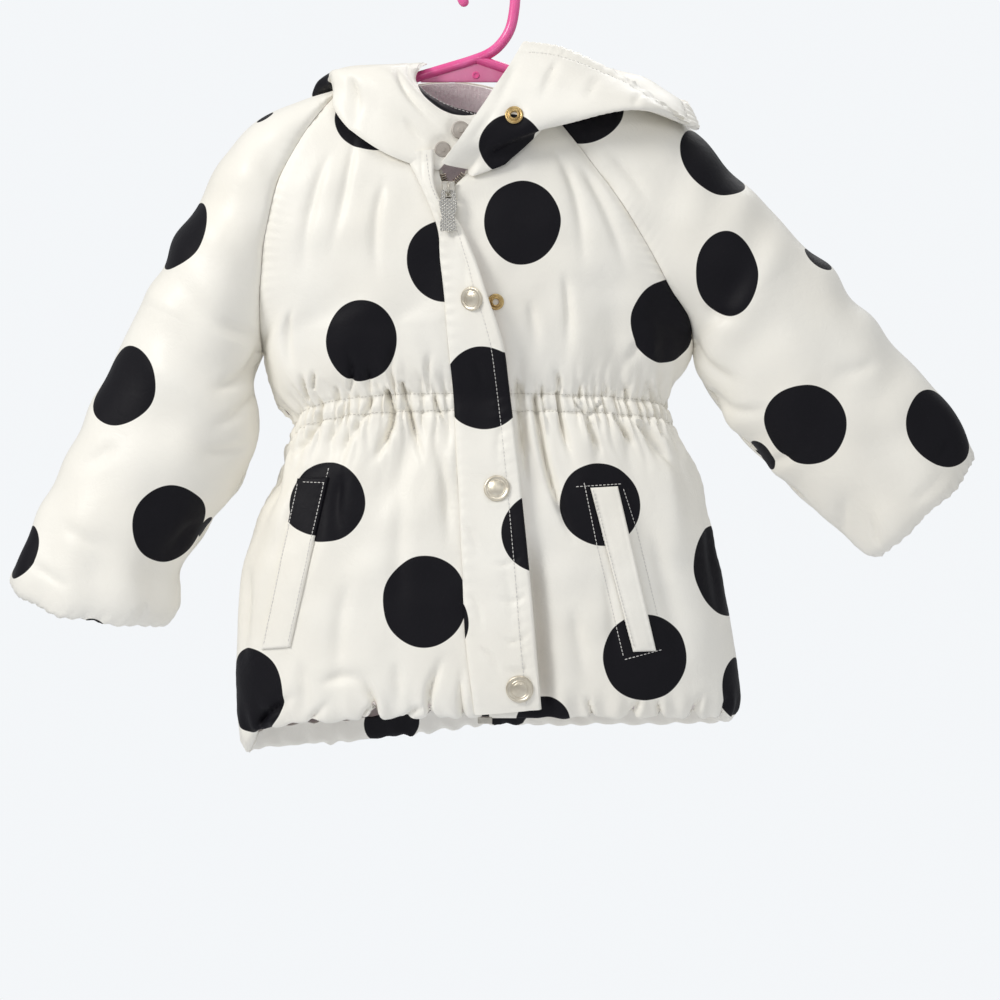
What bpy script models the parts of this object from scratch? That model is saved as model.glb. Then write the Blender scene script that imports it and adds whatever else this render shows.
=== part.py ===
"""Child's padded hooded coat with a fleece-lined neck, zipped up on a plastic hanger.

Sizes are millimetres in the tables and metres in the scene. X is to the viewer's right as the coat
faces the viewer, -Y is the front and +Z is up. The origin is the inner crest of the hanger's hook.
Left and right in names are the wearer's, so the right side lies at -X.
"""
import math

import bmesh
import bpy
import numpy as np
from mathutils import Matrix, Vector
from mathutils.bvhtree import BVHTree

MM = 0.001
CLOTH = 2.4             # shell, padding and lining of a body panel
HOOD_CLOTH = 1.8        # the hood is pressed flatter by its folds
FLAP_CLOTH = 2.2
THIN_CLOTH = 1.0        # least thickness, where a tight turn presses the wall
SEAM_GAP = 0.3          # between two pieces at a seam
SEAM_SOFT = 9.0         # width over which a seam turns the cloth beside it
SQUARENESS = 0.86       # exponent of the body's sections: 1 is an ellipse, less is boxier
FRONT_COLUMNS = 25
BACK_COLUMNS = 33
SLEEVE_COLUMNS = 21
GATHERS_FRONT = 12      # gathers at the waist on each front
GATHERS_BACK = 16

# Body sections from the turned-in hem up to the neck. Side x and z of the wearer's right and left,
# side depth in front and behind (0 at the side seams, more along the raglan seams), front middle
# z and depth, back middle x, z and depth.
BODY = (
    # name        right_x right_z front back  left_x left_z front back  mid_z  mid_d  back_x back_z back_d
    ("lip",        -160, -531,    0,    0,    160, -516,    0,    0,   -513,  49,     0,   -521,  47),
    ("turn",       -166, -545,    0,    0,    167, -529,    0,    0,   -525,  56,     0,   -535,  54.5),
    ("hem",        -172, -544,    0,    0,    173, -529,    0,    0,   -525,  62,     0,   -535,  60),
    ("low",        -177, -522,    0,    0,    177, -514,    0,    0,   -507,  66,     0,   -514,  65),
    ("skirt",      -177, -478,    0,    0,    174, -478,    0,    0,   -470,  66,     0,   -474,  65),
    ("hip",        -174, -434,    0,    0,  165.5, -430,    0,    0,   -430,  64,     0,   -432,  62),
    ("flare",      -162, -393,    0,    0,    157, -390,    0,    0,   -390,  61,    -2,   -392,  58),
    ("below",      -148, -357,    0,    0,    146, -352,    0,    0,   -350,  56,    -3,   -352,  53),
    ("casing_low", -141, -337,    0,    0,    134, -327,    0,    0,   -317,  52,    -5,   -320,  49),
    ("casing_top", -138, -324,    0,    0,    129, -312,    0,    0,   -301,  51,    -6,   -305,  48),
    ("above",      -151, -306,    0,    0,    131, -299,    0,    0,   -285,  56,    -8,   -288,  53),
    ("chest",      -157, -288,    0,    0,    139, -282,    0,    0,   -268,  59,    -9,   -272,  57),
    ("armpit",   -158.5, -274,    0,    0,    143, -270,    0,    0,   -253,  60,   -10,   -256,  59),
    ("raglan_1", -159.5, -252,   22,   20,    141, -250,   23,   21,   -236,  60,   -12,   -236,  59),
    ("raglan_2", -158.5, -224,   34,   32,    128, -230,   37,   33,   -218,  60,   -14,   -214,  58),
    ("raglan_3",   -155, -191,   40,   37,    114, -204,   44,   38,   -200,  60,   -17,   -186,  56),
    ("raglan_4",   -146, -154,   42,   38,     94, -171,   47,   38,   -184,  59,   -20,   -156,  53),
    ("raglan_5",   -131, -125,   38,   34,     72, -141,   45,   35,   -170,  57,   -22,   -128,  50),
    ("raglan_6",   -118, -106,   31,   28,     56, -120,   39,   30,   -158,  55,   -23,   -106,  46),
    ("neck",       -104,  -90,   20,   20,     43, -104,   31,   24,   -146,  51,   -24,    -88,  43),
)
ARMPIT = 12             # the section whose side points are the armpits
BACK_SEAM_IN = (0, 8, 16, 20, 22, 20, 16, 10)   # the back raglan seams lie this much nearer the middle

# Sleeve sections from the armpit to the turned-in cuff. Inner and outer edge points in the front
# view, half depth and how far the front of the section hangs below its ends.
SLEEVE_RIGHT_TOP = (
    # name       outer_x outer_z depth
    ("armpit",   -243.5, -237.5, 46),
    ("raglan_1", -231.5, -213,   47),
    ("raglan_2", -217,   -188,   47),
    ("raglan_3", -201.5, -163,   46),
    ("raglan_4", -186,   -134,   44),
    ("raglan_5", -168,   -112.5, 40),
    ("raglan_6", -129,    -93,   31.5),
    ("neck",     -100,  -84.5,   20.4),
)
SLEEVE_LEFT_TOP = (
    ("armpit",    227,   -200,   46),
    ("raglan_1",  204.5, -178,   47),
    ("raglan_2",  181,   -155.5, 48),
    ("raglan_3",  159.5, -131,   48),
    ("raglan_4",  136.5, -110.5, 48),
    ("raglan_5",  110,   -94,    46),
    ("raglan_6",   79,   -84.5,  40),
    ("neck",       53,   -79,    32),
)
SLEEVE_RIGHT_LOW = (
    # name     inner_x inner_z outer_x outer_z depth sag
    ("elbow_1", -165,  -291,   -252,   -254,   46,   0),
    ("elbow_2", -161,  -313,   -264,   -279,   46,   0),
    ("elbow_3", -164,  -340,   -277,   -305,   45,   0),
    ("elbow_4", -175,  -366,   -291,   -333,   45,   0),
    ("wrist_1", -192,  -389,   -305,   -361,   44,   0),
    ("wrist_2", -206,  -409,   -318.5, -388,   43,   0),
    ("wrist_3", -216,  -426,   -331.5, -418,   42,   2),
    ("wrist_4", -217,  -440,   -337,   -431,   41,   5),
    ("cuff",    -219,  -452,   -336,   -437,   39,   8),
    ("turn",    -227,  -461,   -330,   -440,   34,  10),
    ("lip",     -236,  -452,   -321,   -434,   28,   6),
)
SLEEVE_LEFT_LOW = (
    ("elbow_1",  148.5, -290,   240,   -213,   46,   0),
    ("elbow_2",  164,   -313,   255,   -231,   46,   0),
    ("elbow_3",  180,   -335,   269,   -247,   45,   0),
    ("elbow_4",  199,   -355,   283.5, -263,   44,   0),
    ("wrist_1",  217,   -369,   298,   -278.5, 43,   0),
    ("wrist_2",  234,   -384,   313,   -295,   42,   0),
    ("wrist_3",  248.5, -398,   327,   -310,   41,   0),
    ("wrist_4",  259,   -408,   336,   -323,   40,   2),
    ("cuff",     268,   -414,   340.5, -338,   38,   5),
    ("turn",     276,   -413,   341,   -346.5, 32,   6),
    ("lip",      271,   -403,   333,   -340,   26,   3),
)

# Hood halves: each row is a station from the chin round to the centre back, worn down. The points
# run from the neck seam over or round to the free rim.
HOOD_LEFT = (
    # name            neck             rise             side             fold             fall             rim
    ("chin",      (-32, -61, -143), (-20, -66, -127), (-8, -65, -110), (4, -58, -92),   (15, -46, -74),  (25, -30, -55)),
    ("lapel_1",   (-7, -57, -147),  (8, -68, -132),   (24, -68, -112), (37, -60, -94),  (48, -46, -76),  (56, -29, -60)),
    ("lapel_2",   (17, -52, -142),  (38, -66, -126),  (60, -68, -109), (78, -60, -97),  (91, -46, -88),  (100, -28, -82)),
    ("underfold", (36, -42, -116),  (56, -60, -115),  (80, -65, -109), (100, -62, -105), (118, -54, -104), (134, -40, -108)),
    ("shoulder",  (47, -29, -98),   (66, -44, -99),   (88, -49, -100), (108, -46, -104), (128, -37, -111), (147, -24, -117)),
    ("top",       (53, 2, -79),     (70, 0, -73),     (90, 0, -76),    (109, 0, -82),   (127, 0, -92),   (144, 2, -104)),
    ("corner",    (51, 14, -81),    (68, 24, -84),    (92, 34, -95),    (114, 42, -103),  (129, 43, -101),  (138, 37, -91)),
    ("behind",    (47, 25, -84),    (66, 46, -100),   (92, 63, -130),  (108, 76, -142), (114, 78, -116), (108, 64, -90)),
    ("half_back", (16, 36, -86),    (27, 56, -120),   (42, 69, -182),  (54, 90, -206),  (58, 102, -150), (52, 90, -84)),
    ("centre",    (-24, 43, -87),   (-24, 58, -126),  (-24, 68, -206), (-24, 91, -238), (-24, 108, -170), (-24, 98, -86)),
)
HOOD_RIGHT = (
    ("chin",      (-33, -50, -145), (-26, -51, -138), (-18, -51, -130), (-10, -50, -123), (-4, -47, -116), (2, -43, -109)),
    ("lapel_1",   (-59, -48, -128), (-51, -52, -121), (-45, -53, -114), (-39, -52, -108), (-35, -47, -103), (-33, -38, -98)),
    ("lapel_2",   (-88, -38, -106), (-81, -46, -98),  (-72, -49, -91),  (-62, -47, -87),  (-54, -40, -85),  (-49, -30, -84)),
    ("side",      (-104, -20, -90), (-109, -28, -80), (-96, -33, -76),  (-79, -34, -74),  (-62, -27, -72),  (-47, -16, -72)),
    ("top",       (-100, 0, -84),   (-113, 3, -79),   (-100, 5, -74),   (-79, 6, -70),    (-60, 6, -68),    (-44, 6, -67)),
    ("corner",    (-97, 11, -85),   (-112, 19, -84),  (-122, 28, -80),  (-112, 38, -72),  (-92, 38, -69),   (-66, 34, -68)),
    ("behind",    (-92, 21, -87),   (-110, 38, -88),  (-124, 54, -104), (-126, 68, -114), (-112, 75, -92),  (-84, 63, -72)),
    ("half_back", (-66, 36, -87),   (-78, 56, -120),  (-92, 69, -182),  (-102, 90, -206), (-100, 102, -150), (-84, 90, -82)),
    ("centre",    (-24, 43, -87),   (-24, 58, -126),  (-24, 68, -206),  (-24, 91, -238),  (-24, 108, -170), (-24, 98, -86)),
)
HOOD_ROWS = 10
HOOD_STEPS = 3          # columns between two stations
HOOD_SEAT = 0.9         # from the coat's neck edge to the hood's
HOOD_OUT = 1.3          # and outward, so that the folded hood clears the coat's edge
HOOD_SPACING = 0.5      # least step of the hood's points along the neck edge, in points of the coat's

# The storm flap, from its top to the hem. It is sewn along its left edge here, and its other edge is
# lifted off the front by the last column.
FLAP = (
    # name     sewn_x  sewn_z  edge_x  edge_z lift
    ("top",     -58.8, -134.5, -37,    -133,   3.5),
    ("fold",    -46.9, -157.5, -35.7,  -162,   0.5),
    ("pull",    -35,   -187,   -19,    -185.5, 1),
    ("curl_1",  -33,   -209,   -8,     -211,   7),
    ("curl_2",  -30,   -236,   0,      -236,   11),
    ("curl_3",  -27.5, -267,   10.5,   -267,   8),
    ("waist_1", -24,   -302,   15,     -300,   4),
    ("waist_2", -22,   -341,   20,     -341,   3),
    ("snap_2",  -19.6, -383,   24.5,   -383,   3),
    ("skirt",   -17.5, -428,   29,     -428,   4),
    ("low",     -15.4, -474,   33,     -474,   4),
    ("bottom",  -9,    -524,   37,     -520,   3),
)
FLAP_ROWS = 30
FLAP_COLUMNS = 6
FLAP_SEAT = 0.7                     # from the smooth front to the back of the flap at its seam
FLAP_RISE = 1.8                     # more at its open edge, before the lift

# Zip
ZIP_BOTTOM = (-2.0, -525.0)         # x and z of the closed end
ZIP_TOP = (-27.0, -166.0)           # x and z of the last closed teeth, under the slider
ZIP_OPEN_RIGHT = -34.0              # x of the right front's edge at the neck, above the slider
ZIP_OPEN_LEFT = -13.0
ZIP_HALF_GAP = 3.0                  # half the space between the fronts for the teeth
TEETH_WIDTH = 5.2
TEETH_DEPTH = 2.3
TAPE_CLOTH = 1.0
TAPE_REACH = 2.6                    # of a tape past its front's edge, under the teeth
SLIDER_Z = -161.0
SLIDER_SEAT = 1.4                   # from the teeth's middle line at that height to the plate's back
SLIDER_SIZE = (9.0, 2.0, 11.5)      # width, depth and height of the slider's plate
BRIDGE_SPAN = 8.0                   # between the two feet of the slider's bridge
BRIDGE_RISE = 5.4                   # of the bridge's middle line above the plate
BRIDGE_WIRE = 1.5
ARCH_STEPS = 11
PIVOT_HEIGHT = 3.0                  # of the pull's axis above the slider's plate
PIVOT_RISE = 2.6                    # of the pull's axis above the bridge's lower foot
PULL_REST_TILT = 15.0               # degrees that the pull leans forward where it lies on the flap
PULL_DEPTH = 1.5
PULL_OUTLINE = (
    # half width, distance below the axis
    (3.8, -0.7), (5.0, 0.6), (5.2, 5.0), (6.2, 8.5), (5.8, 13.0),
    (4.5, 17.5), (4.4, 20.5), (5.6, 23.0), (5.6, 29.0),
)
PULL_EYE = (2.1, 0.7, 5.6)          # half width, top and bottom of the hole for the bridge
BOX_SIZE = (10.0, 5.0, 5.0)
BOX_DROP = 0.6                      # from the hem to the zip's box

# Snaps: name, place in the front view
CAP_PROFILE = (
    # radius, height: a flat back, a rolled edge, a sunk ring and a domed middle
    (0.0, 0.0), (8.4, 0.0), (9.0, 0.9), (8.3, 2.1), (7.2, 2.1), (6.6, 1.5), (4.9, 1.7),
    (0.0, 2.6),
)
SOCKET_PROFILE = (
    (2.3, 0.0), (5.7, 0.0), (6.3, 0.7), (5.5, 1.3), (4.2, 0.9), (3.5, 2.1), (2.5, 1.8),
)
BACK_PROFILE = ((0.0, 0.0), (6.2, 0.0), (6.6, 0.4), (6.4, 1.0), (5.2, 1.3), (0.0, 1.5))
SNAPS = (
    # name                    on            x      z       profile         finish       scale
    ("snap_cap_top",          "storm_flap", -10.5, -237.0, CAP_PROFILE,    "champagne", 0.92),
    ("snap_cap_middle",       "storm_flap", 6.3,   -368.0, CAP_PROFILE,    "champagne", 1.0),
    ("snap_cap_low",          "storm_flap", 22.0,  -506.0, CAP_PROFILE,    "champagne", 1.05),
    ("snap_socket_front",     "front_left", 5.5,   -239.0, SOCKET_PROFILE, "brass",     0.9),
    ("snap_socket_hood",      "hood_left",  18.2,  -110.5, SOCKET_PROFILE, "brass",     1.0),
    ("snap_back_upper",       "hood_right", -19.0, -119.5, BACK_PROFILE,   "snap_grey", 1.0),
    ("snap_back_lower",       "hood_right", -31.5, -133.0, BACK_PROFILE,   "snap_grey", 0.86),
)

# Pocket welts: four corners in the front view, inner edge first, top then bottom, and how far the
# outer edge gapes
WELTS = {
    "pocket_welt_right": ((-110.5, -360), (-137, -478), (-132.5, -361), (-157.5, -480), 0.0),
    "pocket_welt_left": ((71, -367.5), (100.5, -481), (90, -366.5), (116.5, -480.5), 4.0),
}
WELT_CLOTH = 2.0
WELT_SEAT = 0.6
WELT_ROWS = 9
WELT_COLUMNS = 4

# Lining inside the back neck
LINING_MIDDLE = -24.0
LINING_HALF_WIDTH = 60.0
LINING_FIRST_PLACE = 16             # from the section raglan_4 up to the neck
LINING_CLOTH = 1.6

# Hanger: it hangs a little lower on the viewer's right
HOOK_RADIUS = 19.4                  # of the hook's middle line
HOOK_SWEEP = 208.0                  # degrees from the stem over the crest to the tip
RIM_WIRE = 3.7                      # radius of the rim all along the hanger
STEM_ROUTE = ((18.5, -30.0), (15.5, -44.0), (9.0, -54.5), (0.5, -61.5), (-12.0, -66.5))   # x, z
ARM_RIGHT = ((-30.0, -72.0), (-60.0, -80.8), (-90.0, -88.6), (-116.0, -97.1))
ARM_LEFT = ((-8.0, -65.3), (19.0, -74.5), (50.0, -85.9), (84.0, -97.8), (110.0, -106.3), (131.0, -114.7))
WEB_OUTLINE = ((-47.0, -76.5), (-12.0, -66.5), (2.0, -66.0), (20.0, -76.0), (33.0, -81.5), (-47.0, -81.5))
WEB_DEPTH = 3.0
WEB_MARK = (-8.5, -83.0, 2.6)       # x, z and radius of the moulding mark under the web

COLOURS = {
    "satin": ((0.86, 0.84, 0.78, 1.0), 0.42, 0.0),
    "fleece": ((0.66, 0.58, 0.58, 1.0), 0.95, 0.0),
    "tape": ((0.80, 0.77, 0.70, 1.0), 0.7, 0.0),
    "nickel": ((0.62, 0.60, 0.55, 1.0), 0.35, 1.0),
    "brass": ((0.62, 0.46, 0.22, 1.0), 0.32, 1.0),
    "champagne": ((0.74, 0.66, 0.52, 1.0), 0.34, 1.0),
    "snap_grey": ((0.50, 0.46, 0.42, 1.0), 0.5, 0.0),
    "pink": ((0.82, 0.10, 0.34, 1.0), 0.25, 0.0),
}


# ---------------------------------------------------------------- curves and grids

def along(points, places):
    """Catmull-Rom curve through rows of points, read at places counted in rows from 0."""
    points = np.asarray(points, float)
    places = np.asarray(places, float)
    last = len(points) - 1
    k = np.clip(np.floor(places).astype(int), 0, last - 1)
    f = (places - k)[:, None]
    before = points[np.clip(k - 1, 0, last)]
    start = points[k]
    end = points[k + 1]
    after = points[np.clip(k + 2, 0, last)]
    return 0.5 * (2 * start + (end - before) * f + (2 * before - 5 * start + 4 * end - after) * f ** 2
                  + (3 * start - before - 3 * end + after) * f ** 3)


def along_gently(points, places):
    """Curve through rows of points, read at places counted in rows from 0. Its slope at a row is no
    longer than the shorter step beside that row, so uneven steps make no loop."""
    points = np.asarray(points, float)
    places = np.asarray(places, float)
    last = len(points) - 1
    steps = np.diff(points, axis=0)
    sizes = np.linalg.norm(steps, axis=-1, keepdims=True)
    before = np.concatenate([sizes[:1], sizes])
    after = np.concatenate([sizes, sizes[-1:]])
    slope = unit(np.gradient(points, axis=0)) * np.minimum(before, after)
    k = np.clip(np.floor(places).astype(int), 0, last - 1)
    f = (places - k).reshape((-1,) + (1,) * (points.ndim - 1))
    return (points[k] * (1 + 2 * f) * (1 - f) ** 2 + slope[k] * f * (1 - f) ** 2
            + points[k + 1] * f ** 2 * (3 - 2 * f) - slope[k + 1] * f ** 2 * (1 - f))


def even_steps(fine, count):
    """Resample each row of a fine grid at even steps of its length."""
    rows = []
    for row in fine:
        steps = np.r_[0, np.cumsum(np.linalg.norm(np.diff(row, axis=0), axis=1))]
        wanted = np.linspace(0, steps[-1], count)
        rows.append(np.stack([np.interp(wanted, steps, row[:, k]) for k in range(3)], axis=1))
    return np.array(rows)


def normals(grid):
    """Unit normals of a grid whose columns run to the viewer's right and rows run up, facing -Y."""
    across = np.gradient(grid, axis=1)
    up = np.gradient(grid, axis=0)
    n = np.cross(across, up)
    return n / np.maximum(np.linalg.norm(n, axis=2, keepdims=True), 1e-9)


def unit(v):
    return v / np.maximum(np.linalg.norm(v, axis=-1, keepdims=True), 1e-9)


def ease(a, b, x):
    t = np.clip((x - a) / (b - a), 0, 1)
    return t * t * (3 - 2 * t)


# ---------------------------------------------------------------- the body's sections

BODY_NUMBERS = np.array([row[1:] for row in BODY], float)
BODY_PLACES = np.array([0, 1, 2, 3, 4, 5, 6, 7, 8, 8.5, 9, 10, 11, 12, 12.5, 13, 14, 15, 16, 17, 18, 19])
FLAT_PLACES = BODY_PLACES[BODY_PLACES >= ARMPIT]


def zip_x(z):
    """The zip's middle line in the front view, straight from its box to its slider."""
    share = (z - ZIP_BOTTOM[1]) / (ZIP_TOP[1] - ZIP_BOTTOM[1])
    return ZIP_BOTTOM[0] + share * (ZIP_TOP[0] - ZIP_BOTTOM[0])


def quarter(side, middle, places, fine=65):
    """Section from a side point to the middle: a superellipse arc whose start is the side's depth.
    Its height goes over from the side's to the middle's fast at the waist and evenly at the neck."""
    rows = []
    levelling = 2.2 - 1.05 * ease(ARMPIT, ARMPIT + 6, places)
    for (sx, sy, sz), (mx, my, mz), power in zip(side, middle, levelling):
        start = math.asin(min(0.999, (abs(sy) / abs(my)) ** (1 / SQUARENESS)))
        angle = np.linspace(start, math.pi / 2, fine)
        reach = (mx - sx) / math.cos(start) ** SQUARENESS
        x = mx - reach * np.clip(np.cos(angle), 0, 1) ** SQUARENESS
        y = my * np.sin(angle) ** SQUARENESS
        t = (angle - start) / (math.pi / 2 - start)
        z = sz + (mz - sz) * (1 - (1 - t) ** power)
        rows.append(np.stack([x, y, z], axis=1))
    return np.array(rows)


def seam_lines(places):
    """Side and raglan seams, front and back, and the two middle lines, at the given stations."""
    table = along(BODY_NUMBERS, places)
    rx, rz, rf, rb, lx, lz, lf, lb, mz, md, bx, bz, bd = table.T
    inward = np.interp(places, np.arange(ARMPIT, ARMPIT + 8), BACK_SEAM_IN, left=0)
    rf, rb, lf, lb = (np.where(places <= ARMPIT, 0, np.maximum(v, 0)) for v in (rf, rb, lf, lb))
    opened = ease(ZIP_TOP[1] + 4, -146, mz)
    right_edge = zip_x(mz) - ZIP_HALF_GAP
    right_edge = right_edge + (ZIP_OPEN_RIGHT - right_edge) * opened
    left_edge = zip_x(mz) + ZIP_HALF_GAP
    left_edge = left_edge + (ZIP_OPEN_LEFT - left_edge) * opened
    return {
        "front_right": np.stack([rx, -rf, rz], axis=1),
        "front_left": np.stack([lx, -lf, lz], axis=1),
        "back_right": np.stack([rx + inward, rb, rz], axis=1),
        "back_left": np.stack([lx - inward * 0.6, lb, lz], axis=1),
        "zip_right": np.stack([right_edge, -md, mz], axis=1),
        "zip_left": np.stack([left_edge, -md, mz], axis=1),
        "middle_back": np.stack([bx, bd, bz], axis=1),
    }


def body_grids(places):
    """Smooth outer surfaces of the two fronts and the back, rows from the hem to the neck."""
    lines = seam_lines(places)
    right = even_steps(quarter(lines["front_right"], lines["zip_right"], places), FRONT_COLUMNS)
    left = even_steps(quarter(lines["front_left"], lines["zip_left"], places), FRONT_COLUMNS)
    half_right = quarter(lines["back_right"], lines["middle_back"], places)
    half_left = quarter(lines["back_left"], lines["middle_back"], places)
    whole = np.concatenate([half_left, half_right[:, -2::-1]], axis=1)
    back = even_steps(whole, BACK_COLUMNS)
    return right, left[:, ::-1], back


def sleeve_grid(side, places):
    """Smooth outer surface of a sleeve: rows from the neck to the cuff, columns from its front seam
    over the outer edge to its back seam."""
    lines = seam_lines(places[::-1])
    top = SLEEVE_RIGHT_TOP if side == "right" else SLEEVE_LEFT_TOP
    low = SLEEVE_RIGHT_LOW if side == "right" else SLEEVE_LEFT_LOW
    crown = along([row[1:] for row in top], places[::-1] - ARMPIT)
    rest = np.array([row[1:] for row in low], float)
    count = len(rest)
    zero = np.zeros(count)
    front = np.concatenate([lines["front_" + side], np.stack([rest[:, 0], zero, rest[:, 1]], axis=1)])
    back = np.concatenate([lines["back_" + side], np.stack([rest[:, 0], zero, rest[:, 1]], axis=1)])
    outer = np.concatenate([crown[:, :2], rest[:, 2:4]])
    depth = np.concatenate([crown[:, 2], rest[:, 4]])
    sag = np.concatenate([np.zeros(len(crown)), rest[:, 5]])
    rows = []
    for f, b, o, d, s in zip(front, back, outer, depth, sag):
        out = np.array([o[0], 0.0, o[1]])
        halves = []
        for seam, sign in ((f, -1.0), (b, 1.0)):
            start = math.asin(min(0.98, abs(seam[1]) / d))
            angle = np.linspace(start, math.pi, 49)
            share = (math.cos(start) - np.cos(angle)) / (math.cos(start) + 1)
            flat_seam = np.array([seam[0], 0.0, seam[2]])
            points = flat_seam + (out - flat_seam) * share[:, None]
            points[:, 1] = sign * d * np.sin(angle)
            drop = np.sin(angle) * s * (1.0 if sign < 0 else 0.4)
            points[:, 2] -= drop
            halves.append(points)
        rows.append(np.concatenate([halves[0], halves[1][-2::-1]]))
    grid = even_steps(np.array(rows), SLEEVE_COLUMNS)
    return grid


# ---------------------------------------------------------------- folds

def flap_edges(z):
    """x of the flap's sewn edge and of its open edge at heights z."""
    table = np.array([row[1:] for row in FLAP], float)
    sewn = np.interp(-z, -table[:, 1], table[:, 0])
    edge = np.interp(-z, -table[:, 3], table[:, 2])
    return sewn, edge


def body_folds(grid, gathers, seed, which):
    """Height of the folds over a body grid. Close gathers at the waist casing, every second column a
    ridge, long soft folds below and above it, and scallops along the turned hem. They die out at
    the seams, under the flap and under the welts."""
    columns = grid.shape[1]
    t = np.linspace(0, 1, columns)[None, :]
    place = BODY_PLACES[:, None]
    uneven = 1 + 0.35 * np.sin(7.1 * t * math.pi + seed) + 0.25 * np.sin(15.7 * t * math.pi + 2 * seed)
    ridge = np.where(np.arange(columns) % 2 == 0, 1.0, -1.0)[None, :]
    near_waist = np.exp(-((place - 8.5) / 1.1) ** 2)
    long_below = ease(8.5, 7.2, place) * ease(1.0, 6.5, place)
    long_above = ease(8.5, 9.6, place) * ease(15.5, 11.0, place)
    bubbles = np.exp(-((place - 2.0) / 1.3) ** 2) * ease(-1.0, 2.0, place)
    wave = np.sin(2 * math.pi * (gathers / 2.4 * t + 0.10 * np.sin(5 * t + seed)) + seed)
    wave_low = np.sin(2 * math.pi * (gathers / 3.2 * t + 0.12 * np.sin(6 * t + seed)) + 1.7 * seed)
    height = 1.9 * near_waist * ridge * uneven + 2.6 * long_below * wave * uneven
    height = height + 1.8 * long_above * wave * uneven + 1.5 * bubbles * wave_low
    height = height * ease(0, 0.08, t) * ease(1, 0.92, t)
    x, z = grid[..., 0], grid[..., 2]
    sewn, edge = flap_edges(z)
    if which == "right":
        height = height * ease(-1, 12, sewn - x)
    if which == "left":
        height = height * ease(-3, 10, x - edge) + flap_trough(x, z, edge)
    if which in ("right", "left"):
        top_in, low_in, top_out, low_out, _ = WELTS["pocket_welt_" + which]
        share = np.clip((z - top_in[1]) / (low_in[1] - top_in[1]), 0, 1)
        middle = (top_in[0] + top_out[0]) / 2 + share * (low_in[0] + low_out[0] - top_in[0] - top_out[0]) / 2
        beside = ease(12, 22, np.abs(x - middle))
        beyond = ease(0, 14, np.abs(z - (top_in[1] + low_in[1]) / 2) - abs(top_in[1] - low_in[1]) / 2)
        height = height * np.maximum(np.maximum(beside, beyond), 0.15)
    return height


def flap_trough(x, z, edge):
    """The left front sinks behind the open edge of the storm flap, in the skirt."""
    deep = ease(-395, -440, z) * ease(-528, -500, z)
    return -8.5 * deep * np.exp(-((x - edge + 4) / 9.0) ** 2)


def sleeve_folds(grid, seed):
    """Soft drag folds at the elbow and small gathers at the turned cuff."""
    rows, columns = grid.shape[:2]
    t = np.linspace(0, 1, columns)[None, :]
    k = np.arange(rows)[:, None] - (rows - len(SLEEVE_RIGHT_LOW))
    ridge = np.where(np.arange(columns) % 2 == 0, 1.0, -1.0)[None, :]
    cuff = np.exp(-((k - 9.2) / 1.4) ** 2)
    bend = np.exp(-((k - 2.5) / 3.2) ** 2)
    drag = np.sin(1.5 * k + 2.2 * math.pi * t + seed)
    free = np.sin(math.pi * t) ** 0.5
    return (1.2 * cuff * ridge + 1.6 * bend * drag) * free


# ---------------------------------------------------------------- walls

def facing_out(grid, is_tube):
    """Normals of a panel, turned to point away from the middle of its tube."""
    n = normals(grid)
    if is_tube:
        middle = grid.mean(axis=1, keepdims=True)
    else:
        middle = grid * np.array([0.0, 0.0, 1.0])
    return n * np.sign(np.sum(n * (grid - middle)))


def share_normals(edges, rows, rows_second=None):
    """Give two panels the mean of their normals along the seam they share."""
    (first, column_a), (second, column_b) = edges
    rows_second = rows if rows_second is None else rows_second
    a = panels[first]["normal"]
    b = panels[second]["normal"]
    mean = unit(a[rows, column_a] + b[rows_second, column_b])
    a[rows, column_a] = mean
    b[rows_second, column_b] = mean


def share_raglan(sleeve, sleeve_column, body, body_column):
    """Share a raglan seam's normals, with one common normal at the armpit."""
    share_normals(((sleeve, sleeve_column), (body, body_column)), on_sleeve, above)
    armpit = unit(np.array([0.0, 0.0, -1.0]))
    panels[sleeve]["normal"][on_sleeve[-1], sleeve_column] = armpit
    panels[body]["normal"][above[-1], body_column] = armpit


def soften_seam(panel, column):
    """Turn the normals beside a seam gradually into the seam's, so that no inner side crosses it."""
    base = panel["base"]
    normal = panel["normal"]
    seam = normal[:, column].copy()
    order = range(1, base.shape[1] // 2)
    for step in order:
        k = step if column == 0 else -1 - step
        away = np.linalg.norm(base[:, k] - base[:, column], axis=1)
        share = ease(0, SEAM_SOFT, away)[:, None]
        normal[:, k] = unit(seam * (1 - share) + normal[:, k] * share)


def draw_in(panel, column, amount):
    """Move the points of one edge column into the panel, square to the seam and to its normal."""
    base = panel["base"]
    inner = 1 if column == 0 else -2
    tangent = unit(np.gradient(base[:, column], axis=0))
    inward = base[:, inner] - base[:, column]
    normal = panel["normal"][:, column]
    inward = inward - normal * np.sum(inward * normal, axis=1, keepdims=True)
    inward = inward - tangent * np.sum(inward * tangent, axis=1, keepdims=True)
    panel["shift"][:, column] += unit(inward) * amount


def neck_ring(pieces, side):
    """Top edge of the coat from the zip round to the centre back, with the normals and the
    direction in which the cloth runs up out of it. Sleeve rows run down, body rows up."""
    points, facing, upward = [], [], []
    for name, backwards in pieces:
        outer = panels[name]["outer"]
        normal = panels[name]["normal"]
        top, under = (0, 1) if name.startswith("sleeve") else (-1, -2)
        line, n = outer[top], normal[top]
        up = unit(outer[top] - outer[under])
        if backwards:
            line, n, up = line[::-1], n[::-1], up[::-1]
        if name == "back":
            half = line.shape[0] // 2 + 1
            line, n, up = line[:half], n[:half], up[:half]
        points.append(line)
        facing.append(n)
        upward.append(up)
    return np.concatenate(points), np.concatenate(facing), np.concatenate(upward)


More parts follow.
